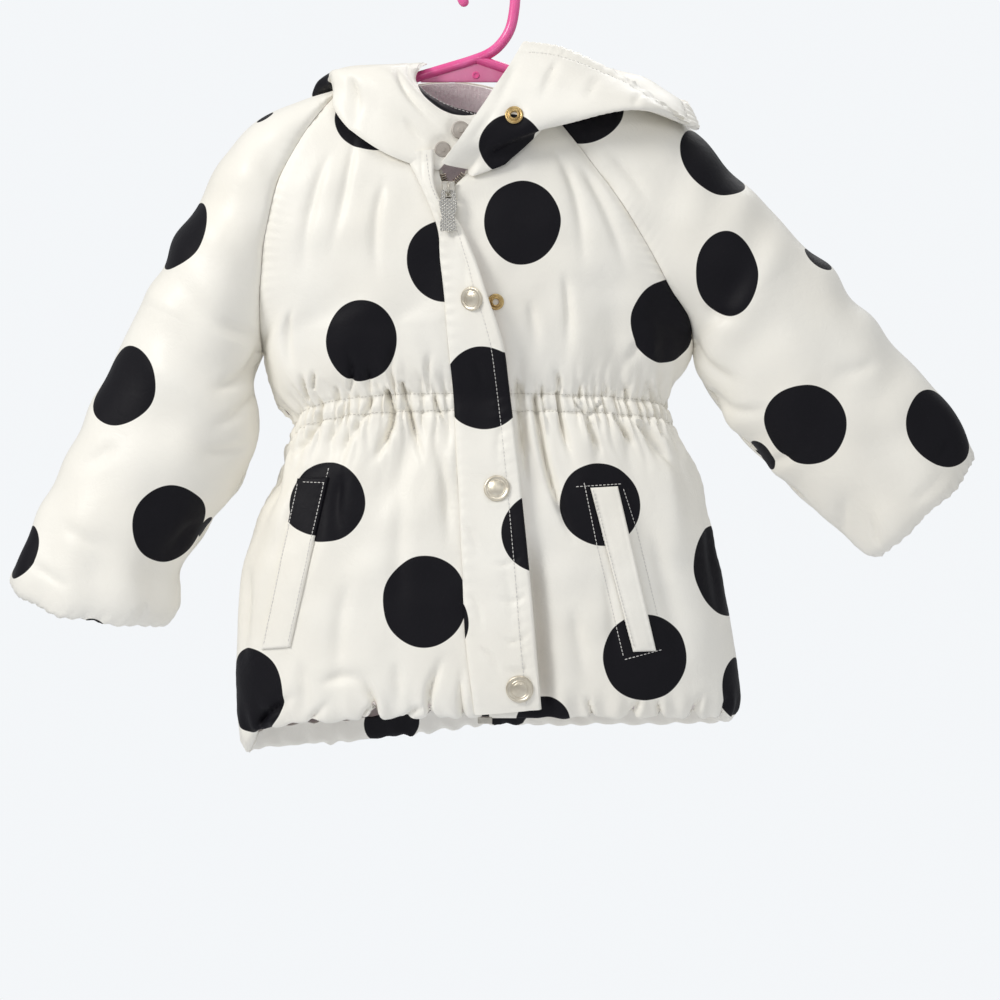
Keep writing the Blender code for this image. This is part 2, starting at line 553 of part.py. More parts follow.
def hood_grid(table, ring, side):
    """Smooth surface of a hood half. Its neck edge sits on the coat's neck ring where it is near."""
    stations = np.array([row[1:] for row in table], float)
    count = len(stations)
    across = np.linspace(0, count - 1, (count - 1) * HOOD_STEPS + 1)
    down = np.linspace(0, 5, HOOD_ROWS + 1)
    lines = along_gently(stations, across)
    grid = np.array([along_gently(line, down) for line in lines])
    points, facing, upward = ring
    place, away = nearest_on_line(points, grid[:, 0])
    place = spread_out(place, HOOD_SPACING)
    share = ease(18, 9, away)[:, None]
    seat = smooth_line(read_line(points, place))
    for _ in range(4):
        place = nearest_on_line(points, seat)[0]
        under = read_line(points, place)
        up = unit(read_line(upward, place))
        out = unit(read_line(facing, place))
        drop = np.maximum(HOOD_SEAT - np.sum((seat - under) * up, axis=1), 0)[:, None]
        sunk = np.maximum(HOOD_OUT - np.sum((seat - under) * out, axis=1), 0)[:, None]
        seat = seat + up * drop + out * sunk
    upward = up
    facing = out
    first = grid[:, 0] + (seat - grid[:, 0]) * share
    moved = first - grid[:, 0]
    fade = ease(4.5, 0.0, np.arange(grid.shape[1]))[None, :, None]
    grid = grid + moved[:, None] * fade
    normal = normals(grid)
    sign = np.sign(np.sum(normal[2, 3] * np.array([0.0, -1.0, 0.2])))
    normal = normal * sign
    soft = normal.copy()
    soft[1:-1, 1:-1] = (normal[:-2, 1:-1] + normal[2:, 1:-1] + normal[1:-1, :-2] + normal[1:-1, 2:]
                        + 2 * normal[1:-1, 1:-1])
    normal = unit(soft)
    agree = ease(-0.1, 0.6, np.sum(normal[:, 0] * facing, axis=1))[:, None]
    edge = normal[:, 0] * (1 - share * agree) + facing * share * agree
    sinking = np.maximum(np.sum(edge * upward, axis=1), 0)[:, None]
    normal[:, 0] = unit(edge - upward * sinking * share)
    grid[-1, :, 0] = grid[-1, :, 0] + (SEAM_GAP / 2 if side == "left" else -SEAM_GAP / 2)
    normal[-1, :, 0] = 0
    normal[-1] = unit(normal[-1])
    return grid, normal


def nearest_on_line(line, points):
    """Place, counted in points along a line, that lies nearest to each of the points, and its distance."""
    start = line[:-1]
    step = line[1:] - start
    size = np.maximum(np.sum(step * step, axis=1), 1e-9)
    share = np.sum((points[:, None] - start[None]) * step[None], axis=2) / size[None]
    share = np.clip(share, 0, 1)
    gap = np.linalg.norm(start[None] + share[..., None] * step[None] - points[:, None], axis=2)
    best = gap.argmin(axis=1)
    rows = np.arange(len(points))
    return best + share[rows, best], gap[rows, best]


def spread_out(places, spacing):
    """Places that only grow, each by at least the spacing, with their ends kept."""
    grown = np.maximum.accumulate(places - spacing * np.arange(len(places)))
    grown = grown + spacing * np.arange(len(places))
    return places[0] + (grown - grown[0]) * (places[-1] - places[0]) / (grown[-1] - grown[0])


def read_line(line, places):
    """Points of a line at places counted in points along it, on its straight pieces."""
    k = np.clip(places.astype(int), 0, len(line) - 2)
    f = (places - k)[:, None]
    return line[k] * (1 - f) + line[k + 1] * f


def smooth_line(line):
    """Soften a line of points once, keeping its ends."""
    soft = line.copy()
    soft[1:-1] = (line[:-2] + 2 * line[1:-1] + line[2:]) / 4
    return soft


def flap_grids(front):
    """Storm flap over the smooth front: it leaves the front at its sewn edge and stands off it by
    its lift at the other edge."""
    table = along([row[1:] for row in FLAP], np.linspace(0, len(FLAP) - 1, FLAP_ROWS))
    sewn_x, sewn_z, edge_x, edge_z, lift = table.T
    s = np.linspace(0, 1, FLAP_COLUMNS)[None, :]
    x = sewn_x[:, None] + (edge_x - sewn_x)[:, None] * s
    z = sewn_z[:, None] + (edge_z - sewn_z)[:, None] * s
    seat = surface_at(front, x.ravel(), z.ravel()).reshape(x.shape + (3,))
    stand = FLAP_SEAT + FLAP_RISE * np.sin(s * math.pi / 2) + lift[:, None] * s ** 2.5
    inner = np.stack([x, seat[..., 1] - stand, z], axis=-1)
    normal = normals(inner)
    normal = normal * np.sign(-normal[..., 1:2])
    return (inner + FLAP_CLOTH * normal)[::-1], inner[::-1], normal[::-1]


def welt_grids(front, top_in, low_in, top_out, low_out, mouth):
    """Pocket welt lying on the folded front. Its outer long edge stands off where the mouth gapes."""
    v = np.linspace(0, 1, WELT_ROWS)[:, None, None]
    u = np.linspace(0, 1, WELT_COLUMNS)[None, :, None]
    corners = [np.array(point, float) for point in (top_in, low_in, top_out, low_out)]
    flat = ((corners[0] * (1 - v) + corners[1] * v) * (1 - u)
            + (corners[2] * (1 - v) + corners[3] * v) * u)
    seat = surface_at(front, flat[..., 0].ravel(), flat[..., 1].ravel()).reshape(flat.shape[:2] + (3,))
    gape = mouth * np.sin(math.pi * v[..., 0]) ** 0.8 * u[..., 0]
    inner = np.stack([flat[..., 0], seat[..., 1] - WELT_SEAT - gape, flat[..., 1]], axis=-1)
    normal = normals(inner)
    normal = normal * np.sign(-normal[..., 1:2])
    return inner + WELT_CLOTH * normal, inner


def backed(outer, normal, cloth):
    """Inner side of a wall of the given thickness. Where a tight turn would make it cross itself, the
    wall is pressed thinner step by step."""
    thick = np.full(outer.shape[:2], cloth)
    for _ in range(14):
        inner = outer - thick[..., None] * normal
        tight = np.zeros(thick.shape, bool)
        for axis in (0, 1):
            step_out = np.diff(outer, axis=axis)
            step_in = np.diff(inner, axis=axis)
            size = np.sum(step_out * step_out, axis=2)
            short = np.sum(step_out * step_in, axis=2) < 0.5 * size
            if axis == 0:
                tight[:-1] |= short
                tight[1:] |= short
            else:
                tight[:, :-1] |= short
                tight[:, 1:] |= short
        thick = np.where(tight, np.maximum(thick * 0.88, THIN_CLOTH), thick)
    return outer - thick[..., None] * normal


def wall_mesh(name, outer, inner):
    """Closed wall between two grids of the same size: a loft of its rows, capped at both ends."""
    rows, columns = outer.shape[:2]
    ring = np.concatenate([outer, inner[:, ::-1]], axis=1)
    around = 2 * columns
    r = np.arange(rows - 1)[:, None]
    c = np.arange(around)[None, :]
    after = (c + 1) % around
    quads = np.stack([r * around + c, r * around + after,
                      (r + 1) * around + after, (r + 1) * around + c], axis=-1).reshape(-1, 4)
    k = np.arange(columns - 1)
    far = around - 1 - k
    first = np.stack([k, far, far - 1, k + 1], axis=-1)
    last = np.stack([k, k + 1, far - 1, far], axis=-1) + (rows - 1) * around
    faces = np.concatenate([quads, first, last])
    mesh = bpy.data.meshes.new(name)
    mesh.from_pydata((ring.reshape(-1, 3) * MM).tolist(), [], faces.tolist())
    mesh.validate()
    bm = bmesh.new()
    bm.from_mesh(mesh)
    bmesh.ops.triangulate(bm, faces=bm.faces, quad_method="SHORT_EDGE")
    if bm.calc_volume(signed=True) < 0:
        bmesh.ops.reverse_faces(bm, faces=bm.faces)
    bm.to_mesh(mesh)
    bm.free()
    mesh.shade_smooth()
    mesh.set_sharp_from_angle(angle=math.radians(50))
    return mesh


def surface_at(grid, x, z, tries=24):
    """Point of a front grid at a place in the front view, by stepping rows for z and columns for x."""
    rows, columns = grid.shape[:2]
    x = np.atleast_1d(np.asarray(x, float))
    z = np.atleast_1d(np.asarray(z, float))
    r = np.full(x.shape, rows / 2.0)
    c = np.full(x.shape, columns / 2.0)

    def read(r, c):
        r = np.clip(r, 0, rows - 1.0001)
        c = np.clip(c, 0, columns - 1.0001)
        i = r.astype(int)
        j = c.astype(int)
        u = (r - i)[..., None]
        v = (c - j)[..., None]
        return ((grid[i, j] * (1 - v) + grid[i, j + 1] * v) * (1 - u)
                + (grid[i + 1, j] * (1 - v) + grid[i + 1, j + 1] * v) * u)

    step = 0.25
    for _ in range(tries):
        p = read(r, c)
        dr = (read(np.clip(r + step, 0, rows - 1), c) - read(np.clip(r - step, 0, rows - 1), c))
        dc = (read(r, np.clip(c + step, 0, columns - 1)) - read(r, np.clip(c - step, 0, columns - 1)))
        a, b = dc[..., 0], dr[..., 0]
        e, g = dc[..., 2], dr[..., 2]
        det = a * g - b * e
        det = np.where(np.abs(det) < 1e-6, 1e-6, det)
        ex = x - p[..., 0]
        ez = z - p[..., 2]
        c = np.clip(c + np.clip(2 * step * (ex * g - b * ez) / det, -3, 3), 0, columns - 1)
        r = np.clip(r + np.clip(2 * step * (a * ez - e * ex) / det, -3, 3), 0, rows - 1)
    return read(r, c)


# ---------------------------------------------------------------- objects

def material(name):
    found = bpy.data.materials.get(name)
    if found:
        return found
    colour, roughness, metallic = COLOURS[name]
    made = bpy.data.materials.new(name)
    made.use_nodes = True
    shader = made.node_tree.nodes["Principled BSDF"]
    shader.inputs["Base Color"].default_value = colour
    shader.inputs["Roughness"].default_value = roughness
    shader.inputs["Metallic"].default_value = metallic
    made.diffuse_color = colour
    return made


def place(name, mesh, finish, collection):
    made = bpy.data.objects.new(name, mesh)
    mesh.materials.clear()
    mesh.materials.append(material(finish))
    collection.objects.link(made)
    return made


def box_mesh(name, size, centre=(0, 0, 0), bevel=0.0):
    """Box from a cube, with rounded edges where a bevel is given."""
    bm = bmesh.new()
    bmesh.ops.create_cube(bm, size=1.0)
    for vertex in bm.verts:
        vertex.co.x = (vertex.co.x * size[0] + centre[0]) * MM
        vertex.co.y = (vertex.co.y * size[1] + centre[1]) * MM
        vertex.co.z = (vertex.co.z * size[2] + centre[2]) * MM
    if bevel:
        bmesh.ops.bevel(bm, geom=bm.edges, offset=bevel * MM, segments=1, profile=0.5, affect="EDGES")
    mesh = bpy.data.meshes.new(name)
    bm.to_mesh(mesh)
    bm.free()
    return mesh


def turned_mesh(name, profile, size, sides=16):
    """Solid turned about its own -Y axis by a Screw modifier's rule: profile rows are radius and
    height. A profile that starts and ends on the axis is a disc, any other one closes as a ring."""
    profile = np.array(profile, float) * size
    angle = np.linspace(0, 2 * math.pi, sides, endpoint=False)
    solid = profile[0, 0] == 0
    bm = bmesh.new()
    rings = []
    for radius, height in profile:
        if radius == 0:
            rings.append([bm.verts.new((0, -height * MM, 0))])
            continue
        rings.append([bm.verts.new((radius * math.cos(a) * MM, -height * MM, radius * math.sin(a) * MM))
                      for a in angle])
    pairs = list(zip(rings[:-1], rings[1:]))
    if not solid:
        pairs.append((rings[-1], rings[0]))
    for low, high in pairs:
        for k in range(sides):
            after = (k + 1) % sides
            corners = [low[k % len(low)], low[after % len(low)], high[after % len(high)], high[k % len(high)]]
            bm.faces.new(list(dict.fromkeys(corners)))
    bmesh.ops.recalc_face_normals(bm, faces=bm.faces)
    if bm.calc_volume(signed=True) < 0:
        bmesh.ops.reverse_faces(bm, faces=bm.faces)
    mesh = bpy.data.meshes.new(name)
    bm.to_mesh(mesh)
    bm.free()
    mesh.shade_smooth()
    mesh.set_sharp_from_angle(angle=math.radians(35))
    return mesh


def outline_mesh(name, outlines, depth):
    """Plate of the given depth from closed outlines in the front view, the first one round the rest."""
    curve = bpy.data.curves.new(name, "CURVE")
    curve.dimensions = "2D"
    curve.fill_mode = "BOTH"
    curve.extrude = depth / 2 * MM
    for outline in outlines:
        spline = curve.splines.new("POLY")
        spline.points.add(len(outline) - 1)
        spline.use_cyclic_u = True
        for target, point in zip(spline.points, outline):
            target.co = (point[0] * MM, point[1] * MM, 0, 1)
    mesh = curve_to_mesh(name, curve)
    mesh.transform(TO_FRONT)
    return mesh


def curve_to_mesh(name, curve):
    """A curve as a welded mesh."""
    holder = bpy.data.objects.new(name + "_curve", curve)
    bpy.context.scene.collection.objects.link(holder)
    bpy.context.view_layer.update()
    seen = holder.evaluated_get(bpy.context.evaluated_depsgraph_get())
    mesh = bpy.data.meshes.new_from_object(seen)
    bpy.data.objects.remove(holder)
    bm = bmesh.new()
    bm.from_mesh(mesh)
    bmesh.ops.remove_doubles(bm, verts=bm.verts, dist=1e-6)
    bmesh.ops.recalc_face_normals(bm, faces=bm.faces)
    bm.to_mesh(mesh)
    bm.free()
    return mesh


def tube_mesh(name, points, radius, resolution=2):
    """Tube along points with filled caps."""
    curve = bpy.data.curves.new(name, "CURVE")
    curve.dimensions = "3D"
    curve.bevel_depth = radius * MM
    curve.bevel_resolution = resolution
    curve.use_fill_caps = True
    spline = curve.splines.new("POLY")
    spline.points.add(len(points) - 1)
    for target, point in zip(spline.points, points):
        target.co = (point[0] * MM, point[1] * MM, point[2] * MM, 1)
    return curve_to_mesh(name, curve)


def seat_disc(carrier, x, z, radius):
    """Place and facing for a disc on a wall, found from the front: its flat back clears the wall
    under its whole rim by the seam gap."""
    mesh = bpy.data.objects[carrier].data
    tree = BVHTree.FromPolygons([v.co for v in mesh.vertices], [p.vertices for p in mesh.polygons])
    ahead = Vector((0, 1, 0))
    centre = tree.ray_cast(Vector((x * MM, -0.3, z * MM)), ahead)[0]
    ring = [Vector((math.cos(a), 0, math.sin(a))) for a in np.linspace(0, 2 * math.pi, 16, endpoint=False)]
    hits = [tree.ray_cast(Vector((x * MM, -0.3, z * MM)) + r * radius * MM * 0.7, ahead)[0] for r in ring]
    hits = [centre if hit is None else hit for hit in hits]
    facing = Vector((0, 0, 0))
    for k in range(len(hits)):
        facing += (hits[k] - centre).cross(hits[(k + 1) % len(hits)] - centre)
    facing.normalize()
    if facing.y > 0:
        facing = -facing
    turn = Vector((0, -1, 0)).rotation_difference(facing)
    highest = 0.0
    for share in (0.35, 0.7, 1.0):
        for r in ring:
            start = centre + turn @ (r * radius * share * MM) + facing * 0.03
            hit = tree.ray_cast(start, -facing)
            if hit[0] is not None:
                highest = max(highest, 0.03 - hit[3])
    return centre + facing * (highest + SEAM_GAP * MM), turn.to_euler()


def joined(name, base, others, finish):
    """Union of a mesh with others, by Boolean modifiers whose operands stay with the cutters."""
    made = place(name, base, finish, coat)
    for index, other in enumerate(others):
        operand = bpy.data.objects.new(name + "_add_%d" % index, other)
        operand.hide_render = True
        operand.display_type = "WIRE"
        cutters.objects.link(operand)
        union = made.modifiers.new("union_%d" % index, "BOOLEAN")
        union.operation = "UNION"
        union.solver = "EXACT"
        union.object = operand
    return made


TO_FRONT = Matrix.Rotation(math.pi / 2, 4, "X")


# ---------------------------------------------------------------- the model

for old in list(bpy.data.objects):
    bpy.data.objects.remove(old)
coat = bpy.data.collections.new("fleece_coat")
cutters = bpy.data.collections.new("cutters")
bpy.context.scene.collection.children.link(coat)
bpy.context.scene.collection.children.link(cutters)

right_base, left_base, back_base = body_grids(BODY_PLACES)
panels = {
    "front_right": {"base": right_base},
    "front_left": {"base": left_base},
    "back": {"base": back_base},
    "sleeve_right": {"base": sleeve_grid("right", FLAT_PLACES)},
    "sleeve_left": {"base": sleeve_grid("left", FLAT_PLACES)},
}
for name, panel in panels.items():
    panel["normal"] = facing_out(panel["base"], name.startswith("sleeve"))
    panel["shift"] = np.zeros_like(panel["base"])

# The seams. Body rows run from the hem to the neck, sleeve rows from the neck to the cuff.
body_rows = len(BODY_PLACES)
seam_rows = len(FLAT_PLACES)
below = np.arange(body_rows - seam_rows)
above = np.arange(body_rows - 1, body_rows - 1 - seam_rows, -1)
on_sleeve = np.arange(seam_rows)
underarm = np.arange(seam_rows, len(panels["sleeve_right"]["base"]))
share_normals((("front_right", 0), ("back", -1)), below)
share_normals((("front_left", -1), ("back", 0)), below)
share_normals((("sleeve_right", 0), ("sleeve_right", -1)), underarm)
share_normals((("sleeve_left", 0), ("sleeve_left", -1)), underarm)
share_raglan("sleeve_right", 0, "front_right", 0)
share_raglan("sleeve_right", -1, "back", -1)
share_raglan("sleeve_left", 0, "front_left", -1)
share_raglan("sleeve_left", -1, "back", 0)
for edge in (("front_right", 0), ("front_left", -1), ("back", 0), ("back", -1),
             ("sleeve_right", 0), ("sleeve_right", -1), ("sleeve_left", 0), ("sleeve_left", -1)):
    soften_seam(panels[edge[0]], edge[1])
    draw_in(panels[edge[0]], edge[1], SEAM_GAP / 2)

panels["front_right"]["folds"] = body_folds(right_base, GATHERS_FRONT, 0.7, "right")
panels["front_left"]["folds"] = body_folds(left_base, GATHERS_FRONT, 2.1, "left")
panels["back"]["folds"] = body_folds(back_base, GATHERS_BACK, 1.2, "back")
panels["sleeve_right"]["folds"] = sleeve_folds(panels["sleeve_right"]["base"], 0.4)
panels["sleeve_left"]["folds"] = sleeve_folds(panels["sleeve_left"]["base"], 1.9)
for name, panel in panels.items():
    folds = panel["folds"][..., None] * panel["normal"]
    panel["outer"] = panel["base"] + folds + panel["shift"]
    panel["inner"] = backed(panel["outer"], panel["normal"], CLOTH)
    place(name, wall_mesh(name, panel["outer"], panel["inner"]), "satin", coat)

whole_front = np.concatenate([right_base, left_base], axis=1)[2:]
whole_outer = np.concatenate([panels["front_right"]["outer"], panels["front_left"]["outer"]], axis=1)[2:]

# Hood
hood_right_ring = neck_ring((("front_right", True), ("sleeve_right", False), ("back", True)), "right")
hood_left_ring = neck_ring((("front_left", False), ("sleeve_left", False), ("back", False)), "left")
hoods = {}
for side, table, ring in (("right", HOOD_RIGHT, hood_right_ring), ("left", HOOD_LEFT, hood_left_ring)):
    grid, normal = hood_grid(table, ring, side)
    hoods[side] = (grid, normal)
    name = "hood_" + side
    place(name, wall_mesh(name, grid, backed(grid, normal, HOOD_CLOTH)), "satin", coat)

# Lining inside the back neck
back = panels["back"]
columns = np.abs(back_base[-1, :, 0] - LINING_MIDDLE) < LINING_HALF_WIDTH
rows = BODY_PLACES >= LINING_FIRST_PLACE
inside = back["inner"][rows][:, columns]
facing = back["normal"][rows][:, columns]
lining = inside - (SEAM_GAP + 0.05) * facing
place("neck_lining", wall_mesh("neck_lining", lining, lining - LINING_CLOTH * facing), "fleece", coat)

# Storm flap
flap_outer, flap_inner, flap_normal = flap_grids(whole_front)
place("storm_flap", wall_mesh("storm_flap", flap_outer, flap_inner), "satin", coat)

# Pocket welts
for name, (top_in, low_in, top_out, low_out, mouth) in WELTS.items():
    outer, inner = welt_grids(whole_outer, top_in, low_in, top_out, low_out, mouth)
    place(name, wall_mesh(name, outer, inner), "satin", coat)

# Zip: a tape behind each front's edge, the closed teeth between the edges, the slider above them
for side, column in (("right", -1), ("left", 0)):
    panel = panels["front_" + side]
    step = -1 if side == "right" else 1
    picked = [column + step, column]
    rows = slice(3, None)
    sheet = panel["inner"][rows][:, picked]
    facing = panel["normal"][rows][:, picked]
    reach = np.array([-step * TAPE_REACH, 0.0, 0.0])
    sheet = np.concatenate([sheet, sheet[:, -1:] + reach], axis=1)
    facing = np.concatenate([facing, facing[:, -1:]], axis=1)
    front_of_tape = sheet - (SEAM_GAP + 0.05) * facing
    name = "zip_tape_" + side
    place(name, wall_mesh(name, front_of_tape, front_of_tape - TAPE_CLOTH * facing), "tape", coat)

middle = (panels["front_right"]["outer"][:, -1] + panels["front_left"]["outer"][:, 0]) / 2
closed = middle[2:]
closed = closed[closed[:, 2] < ZIP_TOP[1]]
top_depth = np.interp(ZIP_TOP[1], middle[2:, 2], middle[2:, 1])
closed = np.concatenate([closed, [[zip_x(ZIP_TOP[1]), top_depth, ZIP_TOP[1]]]])
half = np.array([TEETH_WIDTH / 2, 0.0, 0.0])
teeth = np.stack([closed - half, closed + half], axis=1)
behind = np.array([0.0, TEETH_DEPTH, 0.0])
place("zip_teeth", wall_mesh("zip_teeth", teeth, teeth + behind), "nickel", coat)

slider_depth = np.interp(SLIDER_Z, middle[2:, 2], middle[2:, 1])
plate_back = slider_depth - SLIDER_SEAT
plate_front = plate_back - SLIDER_SIZE[1]
slider_x = zip_x(SLIDER_Z)
plate = box_mesh("zip_slider", SLIDER_SIZE, (slider_x, (plate_back + plate_front) / 2, SLIDER_Z), 0.5)
arch_angle = np.linspace(0, math.pi, ARCH_STEPS)
arch = np.stack([np.full(ARCH_STEPS, slider_x), plate_front - BRIDGE_RISE * np.sin(arch_angle),
                 SLIDER_Z - BRIDGE_SPAN / 2 * np.cos(arch_angle)], axis=1)
feet = arch[[0, -1]] + np.array([0.0, 1.0, 0.0])
arch = np.concatenate([feet[:1], arch, feet[1:]])
bridge = tube_mesh("bridge", arch, BRIDGE_WIRE / 2, 1)
joined("zip_slider", plate, [bridge], "nickel")

pivot = np.array([slider_x, plate_front - PIVOT_HEIGHT, SLIDER_Z - BRIDGE_SPAN / 2 + PIVOT_RISE])
right_edge = [(-half_width, -drop) for half_width, drop in PULL_OUTLINE]
left_edge = [(half_width, -drop) for half_width, drop in reversed(PULL_OUTLINE)]
eye_half, eye_top, eye_low = PULL_EYE
eye = [(-eye_half, -eye_top), (-eye_half, -eye_low), (eye_half, -eye_low), (eye_half, -eye_top)]
pull = place("zip_pull", outline_mesh("zip_pull", [right_edge + left_edge, eye], PULL_DEPTH), "nickel", coat)
pull.location = Vector(pivot * MM)
pull.rotation_euler = (math.radians(-PULL_REST_TILT), 0, 0)

hem = middle[1:3].min(axis=0)
box_top = hem[2] - BOX_DROP
box_centre = (ZIP_BOTTOM[0], (middle[1, 1] + middle[2, 1]) / 2, box_top - BOX_SIZE[2] / 2)
place("zip_box", box_mesh("zip_box", BOX_SIZE, box_centre, 0.6), "nickel", coat)

# Snaps
bpy.context.view_layer.update()
for name, carrier, x, z, profile, finish, size in SNAPS:
    snap = place(name, turned_mesh(name, profile, size), finish, coat)
    widest = max(radius for radius, _ in profile) * size
    snap.location, snap.rotation_euler = seat_disc(carrier, x, z, widest)

# Hanger
hook_angle = np.radians(np.linspace(0, HOOK_SWEEP, 22))
hook_middle = RIM_WIRE - HOOK_RADIUS
hook = [(HOOK_RADIUS * math.cos(a), hook_middle + HOOK_RADIUS * math.sin(a)) for a in hook_angle]
stem = along(np.array(((HOOK_RADIUS, hook_middle),) + STEM_ROUTE + ARM_RIGHT), np.linspace(0, 9, 25))
route = np.concatenate([np.array(hook)[::-1], stem[1:]])
route = np.stack([route[:, 0], np.zeros(len(route)), route[:, 1]], axis=1)
arm = along(np.array(ARM_LEFT), np.linspace(0, 5, 12))
arm = np.stack([arm[:, 0], np.zeros(len(arm)), arm[:, 1]], axis=1)
web = outline_mesh("web", [WEB_OUTLINE], WEB_DEPTH)
mark_x, mark_z, mark_radius = WEB_MARK
mark = tube_mesh("mark", [(mark_x, -2.1, mark_z), (mark_x, 2.1, mark_z)], mark_radius)
joined("hanger", tube_mesh("hanger", route, RIM_WIRE), [tube_mesh("arm", arm, RIM_WIRE - 0.1), web, mark], "pink")
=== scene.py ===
import math

import bpy
import numpy as np
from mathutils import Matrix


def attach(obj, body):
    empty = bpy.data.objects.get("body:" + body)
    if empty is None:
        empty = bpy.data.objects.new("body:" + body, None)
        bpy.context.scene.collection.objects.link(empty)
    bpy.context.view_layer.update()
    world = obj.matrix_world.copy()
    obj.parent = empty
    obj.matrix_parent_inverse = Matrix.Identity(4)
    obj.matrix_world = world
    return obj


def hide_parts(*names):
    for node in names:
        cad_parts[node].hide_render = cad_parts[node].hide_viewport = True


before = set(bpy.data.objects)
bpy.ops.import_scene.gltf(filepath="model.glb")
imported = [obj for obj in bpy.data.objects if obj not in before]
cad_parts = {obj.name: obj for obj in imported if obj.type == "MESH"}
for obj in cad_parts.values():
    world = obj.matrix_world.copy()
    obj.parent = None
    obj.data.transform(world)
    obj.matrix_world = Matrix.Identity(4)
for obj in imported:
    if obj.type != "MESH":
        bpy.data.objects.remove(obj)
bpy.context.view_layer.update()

MM = 0.001

# Sizes are millimetres in the tables and metres in the scene. X is to the viewer's right, -Y is the
# coat's front and +Z is up. The origin is the inner crest of the hanger's hook. Left and right in
# names are the wearer's, so the right side lies at -X.

CLOTH = 2.4             # thickness of the walls
HOOD_CLOTH = 1.8
FLAP_CLOTH = 2.2
WELT_CLOTH = 2.0
SEAM_GAP = 0.3          # between two panels
SEAM_SOFT = 9.0         # how far from a seam the normals bend toward its own
SQUARENESS = 0.86       # power of sine and cosine in the body's sections, 1 is an ellipse
STEP = 1.8              # between the rows of a dressed panel
FRONT_FINE = 112        # columns of the dressed panels
BACK_FINE = 168
SLEEVE_FINE = 132

# The body's sections, the sleeves, the hood and the flap, as in the part's solids
BODY = (
    # name, then x, z and the seam's depth in front and behind, at right and at left, then z and
    # depth of the front's middle, and x, z and depth of the back's middle
    ("lip",        -160, -531,    0,    0,    160, -516,    0,    0,   -513,  49,     0,   -521,  47),
    ("turn",       -166, -545,    0,    0,    167, -529,    0,    0,   -525,  56,     0,   -535,  54.5),
    ("hem",        -172, -544,    0,    0,    173, -529,    0,    0,   -525,  62,     0,   -535,  60),
    ("low",        -177, -522,    0,    0,    177, -514,    0,    0,   -507,  66,     0,   -514,  65),
    ("skirt",      -177, -478,    0,    0,    174, -478,    0,    0,   -470,  66,     0,   -474,  65),
    ("hip",        -174, -434,    0,    0,  165.5, -430,    0,    0,   -430,  64,     0,   -432,  62),
    ("flare",      -162, -393,    0,    0,    157, -390,    0,    0,   -390,  61,    -2,   -392,  58),
    ("below",      -148, -357,    0,    0,    146, -352,    0,    0,   -350,  56,    -3,   -352,  53),
    ("casing_low", -141, -337,    0,    0,    134, -327,    0,    0,   -317,  52,    -5,   -320,  49),
    ("casing_top", -138, -324,    0,    0,    129, -312,    0,    0,   -301,  51,    -6,   -305,  48),
    ("above",      -151, -306,    0,    0,    131, -299,    0,    0,   -285,  56,    -8,   -288,  53),
    ("chest",      -157, -288,    0,    0,    139, -282,    0,    0,   -268,  59,    -9,   -272,  57),
    ("armpit",   -158.5, -274,    0,    0,    143, -270,    0,    0,   -253,  60,   -10,   -256,  59),
    ("raglan_1", -159.5, -252,   22,   20,    141, -250,   23,   21,   -236,  60,   -12,   -236,  59),
    ("raglan_2", -158.5, -224,   34,   32,    128, -230,   37,   33,   -218,  60,   -14,   -214,  58),
    ("raglan_3",   -155, -191,   40,   37,    114, -204,   44,   38,   -200,  60,   -17,   -186,  56),
    ("raglan_4",   -146, -154,   42,   38,     94, -171,   47,   38,   -184,  59,   -20,   -156,  53),
    ("raglan_5",   -131, -125,   38,   34,     72, -141,   45,   35,   -170,  57,   -22,   -128,  50),
    ("raglan_6",   -118, -106,   31,   28,     56, -120,   39,   30,   -158,  55,   -23,   -106,  46),
    ("neck",       -104,  -90,   20,   20,     43, -104,   31,   24,   -146,  51,   -24,    -88,  43),
)
ARMPIT = 12             # the section whose side points are the armpits
WAIST_PLACE = 8.5       # the place among the sections where the waist casing's middle runs
BODY_CREASING = 1.75    # how much deeper than in the table the body's valleys are
BACK_SEAM_IN = (0, 8, 16, 20, 22, 20, 16, 10)   # the back raglan seams lie this much nearer the middle
SLEEVE_RIGHT_TOP = (
    # name       outer_x outer_z depth
    ("armpit",   -243.5, -237.5, 46),
    ("raglan_1", -231.5, -213,   47),
    ("raglan_2", -217,   -188,   47),
    ("raglan_3", -201.5, -163,   46),
    ("raglan_4", -186,   -134,   44),
    ("raglan_5", -168,   -112.5, 40),
    ("raglan_6", -129,    -93,   31.5),
    ("neck",     -100,  -84.5,   20.4),
)
SLEEVE_LEFT_TOP = (
    ("armpit",    227,   -200,   46),
    ("raglan_1",  204.5, -178,   47),
    ("raglan_2",  181,   -155.5, 48),
    ("raglan_3",  159.5, -131,   48),
    ("raglan_4",  136.5, -110.5, 48),
    ("raglan_5",  110,   -94,    46),
    ("raglan_6",   79,   -84.5,  40),
    ("neck",       53,   -79,    32),
)
SLEEVE_RIGHT_LOW = (
    # name     inner_x inner_z outer_x outer_z depth sag
    ("elbow_1", -165,  -291,   -252,   -254,   46,   0),
    ("elbow_2", -161,  -313,   -264,   -279,   46,   0),
    ("elbow_3", -164,  -340,   -277,   -305,   45,   0),
    ("elbow_4", -175,  -366,   -291,   -333,   45,   0),
    ("wrist_1", -192,  -389,   -305,   -361,   44,   0),
    ("wrist_2", -206,  -409,   -318.5, -388,   43,   0),
    ("wrist_3", -216,  -426,   -331.5, -418,   42,   2),
    ("wrist_4", -217,  -440,   -337,   -431,   41,   5),
    ("cuff",    -219,  -452,   -336,   -437,   39,   8),
    ("turn",    -227,  -461,   -330,   -440,   34,  10),
    ("lip",     -236,  -452,   -321,   -434,   28,   6),
)
